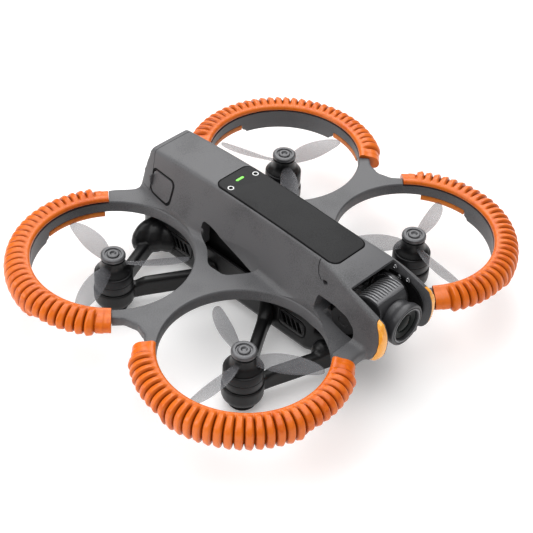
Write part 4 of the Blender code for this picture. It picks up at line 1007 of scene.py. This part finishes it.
def window_fittings():
    """What shows through the windows: black plates as painted shade in the undercuts, the fork's liners and
    the pivot covers.
    """
    for side in SIDES.values():
        # A black plate behind the undercut, as painted shade in the waist window.
        corners = [(side * x, y, z) for x, y, z in ((13.0, -8, 24), (13.35, 26.4, 43.2))]
        web = block("painted_shade_web", *corners[::side])
        place(web, "foot", "airframe", "chassis_black_nylon")
        liner = side_slab("fork_liner", CHEEK_LINER, side, 14.35, 15.1, soften=2.5, steps=5)
        place(rounded_edges(liner, 0.25, 2), "foot", "airframe", "chassis_black_nylon")
        cover = turned("pivot_cover", ((0, -0.9), (6.6, -0.9), (7.2, -0.5), (7.4, 0.2), (7.2, 0.7),
                                       (6.7, 0.9), (3.0, 0.9), (2.8, 0.6), (0, 0.6)), 48,
                       at(side * 16.0, TILT_Y + 4.5, 38.5) @ SIDEWAYS @ Matrix.Diagonal((1, 1, side, 1)))
        place(cover, "panel", "airframe", "chassis_black_nylon")


def bay_fittings():
    """Rubber damper, rail and screws in the bay behind the camera."""
    damper = turned("damper", ((0, -1), (0.5, -0.866), (0.866, -0.5), (1, 0), (0.866, 0.5), (0.5, 0.866),
                               (0, 1)), 32, at(7.6, -56.4, 41.2) @ Matrix.Diagonal((4.6, 1.7, 1.9, 1)))
    refine(damper, "SUBSURF", levels=1, render_levels=1)
    place(damper, "camera", "airframe", "chassis_black_nylon")
    rail = block("rail", (-12.8, -57.6, 39.8), (12.8, -57.1, 40.4), 0.2, 2)
    place(rail, "cooler", "airframe", "cooler_aluminium")
    for y, z in SCREWS:
        screw = turned("screw", ((0, -0.6), (1.1, -0.6), (1.3, -0.4), (1.3, 0.2), (1.0, 0.5), (0.6, 0.5),
                                 (0.4, 0.1), (0, 0.1)), 24,
                       at(14.3, y, z) @ SIDEWAYS @ Matrix.Diagonal((1, 1, -1, 1)))
        place(screw, "steel", "airframe", "cooler_aluminium")


def plain_pieces():
    """CAD pieces that only need finer edges: node, look, body, slot and width of the rounding."""
    for node, look, body, slot, width in (
        ("top_panel", "panel", "airframe", "panel_black", 0.25),
        ("belly_hatch", "panel", "airframe", "pack_shell", 0.3),
        ("belly_lens", "glass", "airframe", "lens_dark_glass", 0.3),
        ("battery_pack", "panel", "battery", "pack_shell", 0.5),
        ("battery_tray", "chassis", "airframe", "chassis_black_nylon", 0.2),
        ("main_board", "board", "airframe", "board_laminate", 0.15),
        ("board_cooler", "cooler", "airframe", "cooler_aluminium", 0.15),
        ("status_light", "green_light", "airframe", "light_green", 0.15),
        ("level_lights", "green_light", "battery", "light_green", 0.15),
        ("power_button", "panel", "button", "panel_black", 0.2),
        ("gimbal_mount", "chassis", "airframe", "chassis_black_nylon", 0.3),
    ):
        piece = sew_flat(from_cad(node, f"{node}_finished"))
        rounded_edges(piece, width, 3)
        place(piece, look, body, slot, node)


# ---------------------------------------------------------------- camera


def about_tilt():
    """Side view whose middle is the camera's tilt axis."""
    return at(0, TILT_Y, TILT_Z) @ SIDEWAYS


SLOTS = 10
SLOT_PITCH = 1.8
SLOT_WIDTH = 1.04
COOLER_X = -0.5


def camera():
    """Camera body with its cooler, barrel, lip and glass, and the drive that tilts it. The lip's pale metal
    is a painted highlight on the barrel's inner bevel.
    """
    body = ((-11.6, -9.0), (-11.6, 5.4), (-10.4, 8.4), (-8.4, 9.9), (-4.0, 10.4), (-0.6, 9.6), (2.8, 8.0),
            (5.6, 5.0), (7.4, 0.8), (7.6, -4.0), (6.2, -8.6), (2.0, -11.4), (-4.0, -12.0), (-9.0, -11.4))
    housing = slab("camera_body", body, -10.0, 9.0, about_tilt(), soften=1.2, steps=3)
    rounded_edges(housing, 1.6, 5, angle=40)
    place(housing, "camera", "camera", "camera_grey", "camera_housing")

    outline_of_cooler = ((-9.2, 9.2), (-8.8, 10.4), (-7.2, 11.0), (-4.2, 11.3), (-0.8, 10.6), (2.4, 8.9),
                         (4.8, 6.6), (4.0, 5.8), (1.6, 7.8), (-1.2, 9.2), (-4.0, 10.0), (-7.6, 9.4))
    cooler = slab("ribbed_cooler", outline_of_cooler, -9.8, 8.8, about_tilt(), soften=0.3, steps=2)
    rounded_edges(cooler, 0.25, 2, angle=40)
    slot = ((-7.6, 14), (-7.6, 10.5), (-4.2, 10.6), (-1.0, 9.8), (2.0, 8.2), (3.8, 6.4), (7.0, 8.4),
            (2.0, 14))
    for i in range(SLOTS):
        x = (i - (SLOTS - 1) / 2) * SLOT_PITCH + COOLER_X
        cut(cooler, slab("slot", slot, x - SLOT_WIDTH / 2, x + SLOT_WIDTH / 2, about_tilt()))
    place(cooler, "cooler", "camera", "cooler_aluminium", "camera_cooler")

    profile = ((0, 82.3), (9.2, 82.3), (9.5, 83.0), (9.6, 85.0), (9.9, 86.2), (10.5, 87.3), (10.8, 88.0),
               (10.8, 90.2), (10.6, 90.7), (10.2, 90.9), (9.7, 90.9), (9.5, 90.6), (9.2, 90.6), (9.0, 90.9),
               (8.5, 90.9), (8.1, 90.5), (7.9, 89.6), (7.9, 87.4), (0, 87.4))
    there = at(0, 0, LENS_Z) @ FORWARDS
    barrel = turned("barrel", profile, 96, there)
    tab = block("tab", (6.6, -90.3, LENS_Z - 9.6), (9.4, -88.5, LENS_Z - 6.6), 0.5)
    place(join(barrel, tab), "camera", "camera", "camera_grey", "lens_barrel", angle=25)
    # Pale ring at the barrel's mouth: a painted highlight for the light that the inner bevel catches.
    lip = turned("highlight_lip", ((8.45, 90.7), (8.95, 90.7), (8.95, 91.0), (8.7, 91.05), (8.45, 90.95)),
                 96, there, ring=True)
    place(lip, "cooler", "camera", "camera_grey")

    glass = turned("front_glass", ((0, 87.7), (7.6, 87.7), (7.6, 89.6), (7.2, 89.6), (4.9, 88.9), (4.7, 88.6),
                                   (4.4, 88.6), (4.2, 89.0), (3.0, 89.4), (1.6, 89.6), (0, 89.65)), 64, there)
    place(glass, "glass", "camera", "lens_dark_glass", "lens_glass", angle=25)

    rim = turned("drive_rim", ((9.6, 9.1), (10.3, 9.1), (10.4, 9.3), (10.3, 9.5), (9.6, 9.5)), 72,
                 about_tilt(), ring=True)
    place(rim, "steel", "airframe", "motor_anodised")
    disc = turned("tilt_drive", ((0, 9.2), (9.4, 9.2), (10.1, 9.55), (10.2, 11.2), (9.9, 11.5), (9.2, 11.5),
                                 (9.0, 11.3), (6.4, 11.3), (6.2, 11.5), (0, 11.5)), 72, about_tilt())
    place(disc, "camera", "airframe", "motor_anodised", "tilt_motor", angle=25)


# ---------------------------------------------------------------- stage


WORLD_LIGHT = 0.4
SUN_LIGHT = 2.1
SUN_ANGLE = 70  # degrees; so wide that shadows stay soft
FLOOR_GLOW = 0.22  # a table lit from below lifts the shadows


def stage():
    """Pale lit table, an even sky, a wide overhead light and two soft boxes."""
    bpy.ops.object.select_all(action="DESELECT")
    bpy.ops.mesh.primitive_plane_add(size=8)
    floor = named("floor")
    material, _, shader = shader_of("pale_floor", 0.9)
    shader.inputs["Base Color"].default_value = colour("F4F4F4")
    shader.inputs["Emission Color"].default_value = colour("FFFFFF")
    shader.inputs["Emission Strength"].default_value = FLOOR_GLOW
    floor.data.materials.append(material)

    scene = bpy.context.scene
    scene.view_settings.view_transform = "Standard"
    world = scene.world or bpy.data.worlds.new("studio")
    scene.world = world
    world.use_nodes = True
    world.node_tree.nodes["Background"].inputs["Color"].default_value = (1, 1, 1, 1)
    world.node_tree.nodes["Background"].inputs["Strength"].default_value = WORLD_LIGHT
    bpy.ops.object.light_add(type="SUN", location=(0.0, 0.3, 1.5), rotation=(math.radians(-12), 0, 0))
    daylight = bpy.context.object
    daylight.name = "overhead"
    daylight.data.energy = SUN_LIGHT
    daylight.data.angle = math.radians(SUN_ANGLE)
    lights = (
        ("back", (0.8, 0.75, 0.95), 0.9, 7.0),
        ("left", (-0.9, 0.5, 0.5), 0.5, 3.2),
    )
    for name, where, size, power in lights:
        bpy.ops.object.light_add(type="AREA", location=where)
        light = bpy.context.object
        light.name = name
        light.data.size = size
        light.data.energy = power
        light.rotation_euler = (-Vector(where)).to_track_quat("-Z", "Y").to_euler()


VIEW_TURN, VIEW_RISE, VIEW_ROLL = -47.74, 41.33, 3.32  # degrees
VIEW_TARGET = (-12.24, -12.41, 34.5)
VIEW_DISTANCE = 689.6
LENS = 95.6


def camera_view():
    """Three-quarter view from the front right, from well above."""
    turn, rise, roll = (math.radians(angle) for angle in (VIEW_TURN, VIEW_RISE, VIEW_ROLL))
    right = Vector((math.cos(turn), math.sin(turn), 0))
    back = Vector((math.sin(turn) * math.cos(rise), -math.cos(turn) * math.cos(rise), math.sin(rise)))
    up = back.cross(right)
    across = right * math.cos(roll) + up * math.sin(roll)
    above = up * math.cos(roll) - right * math.sin(roll)
    target = Vector(VIEW_TARGET) * MM
    bpy.ops.object.camera_add()
    view = bpy.context.object
    turned_view = Matrix((across, above, back)).transposed().to_4x4()
    view.matrix_world = Matrix.Translation(target + back * VIEW_DISTANCE * MM) @ turned_view
    view.data.lens = LENS
    bpy.context.scene.camera = view


stage()
camera_view()
upper_shell()
bumpers()
motors()
arms()
chassis()
plain_pieces()
inlay_fittings()
window_fittings()
bay_fittings()
camera()
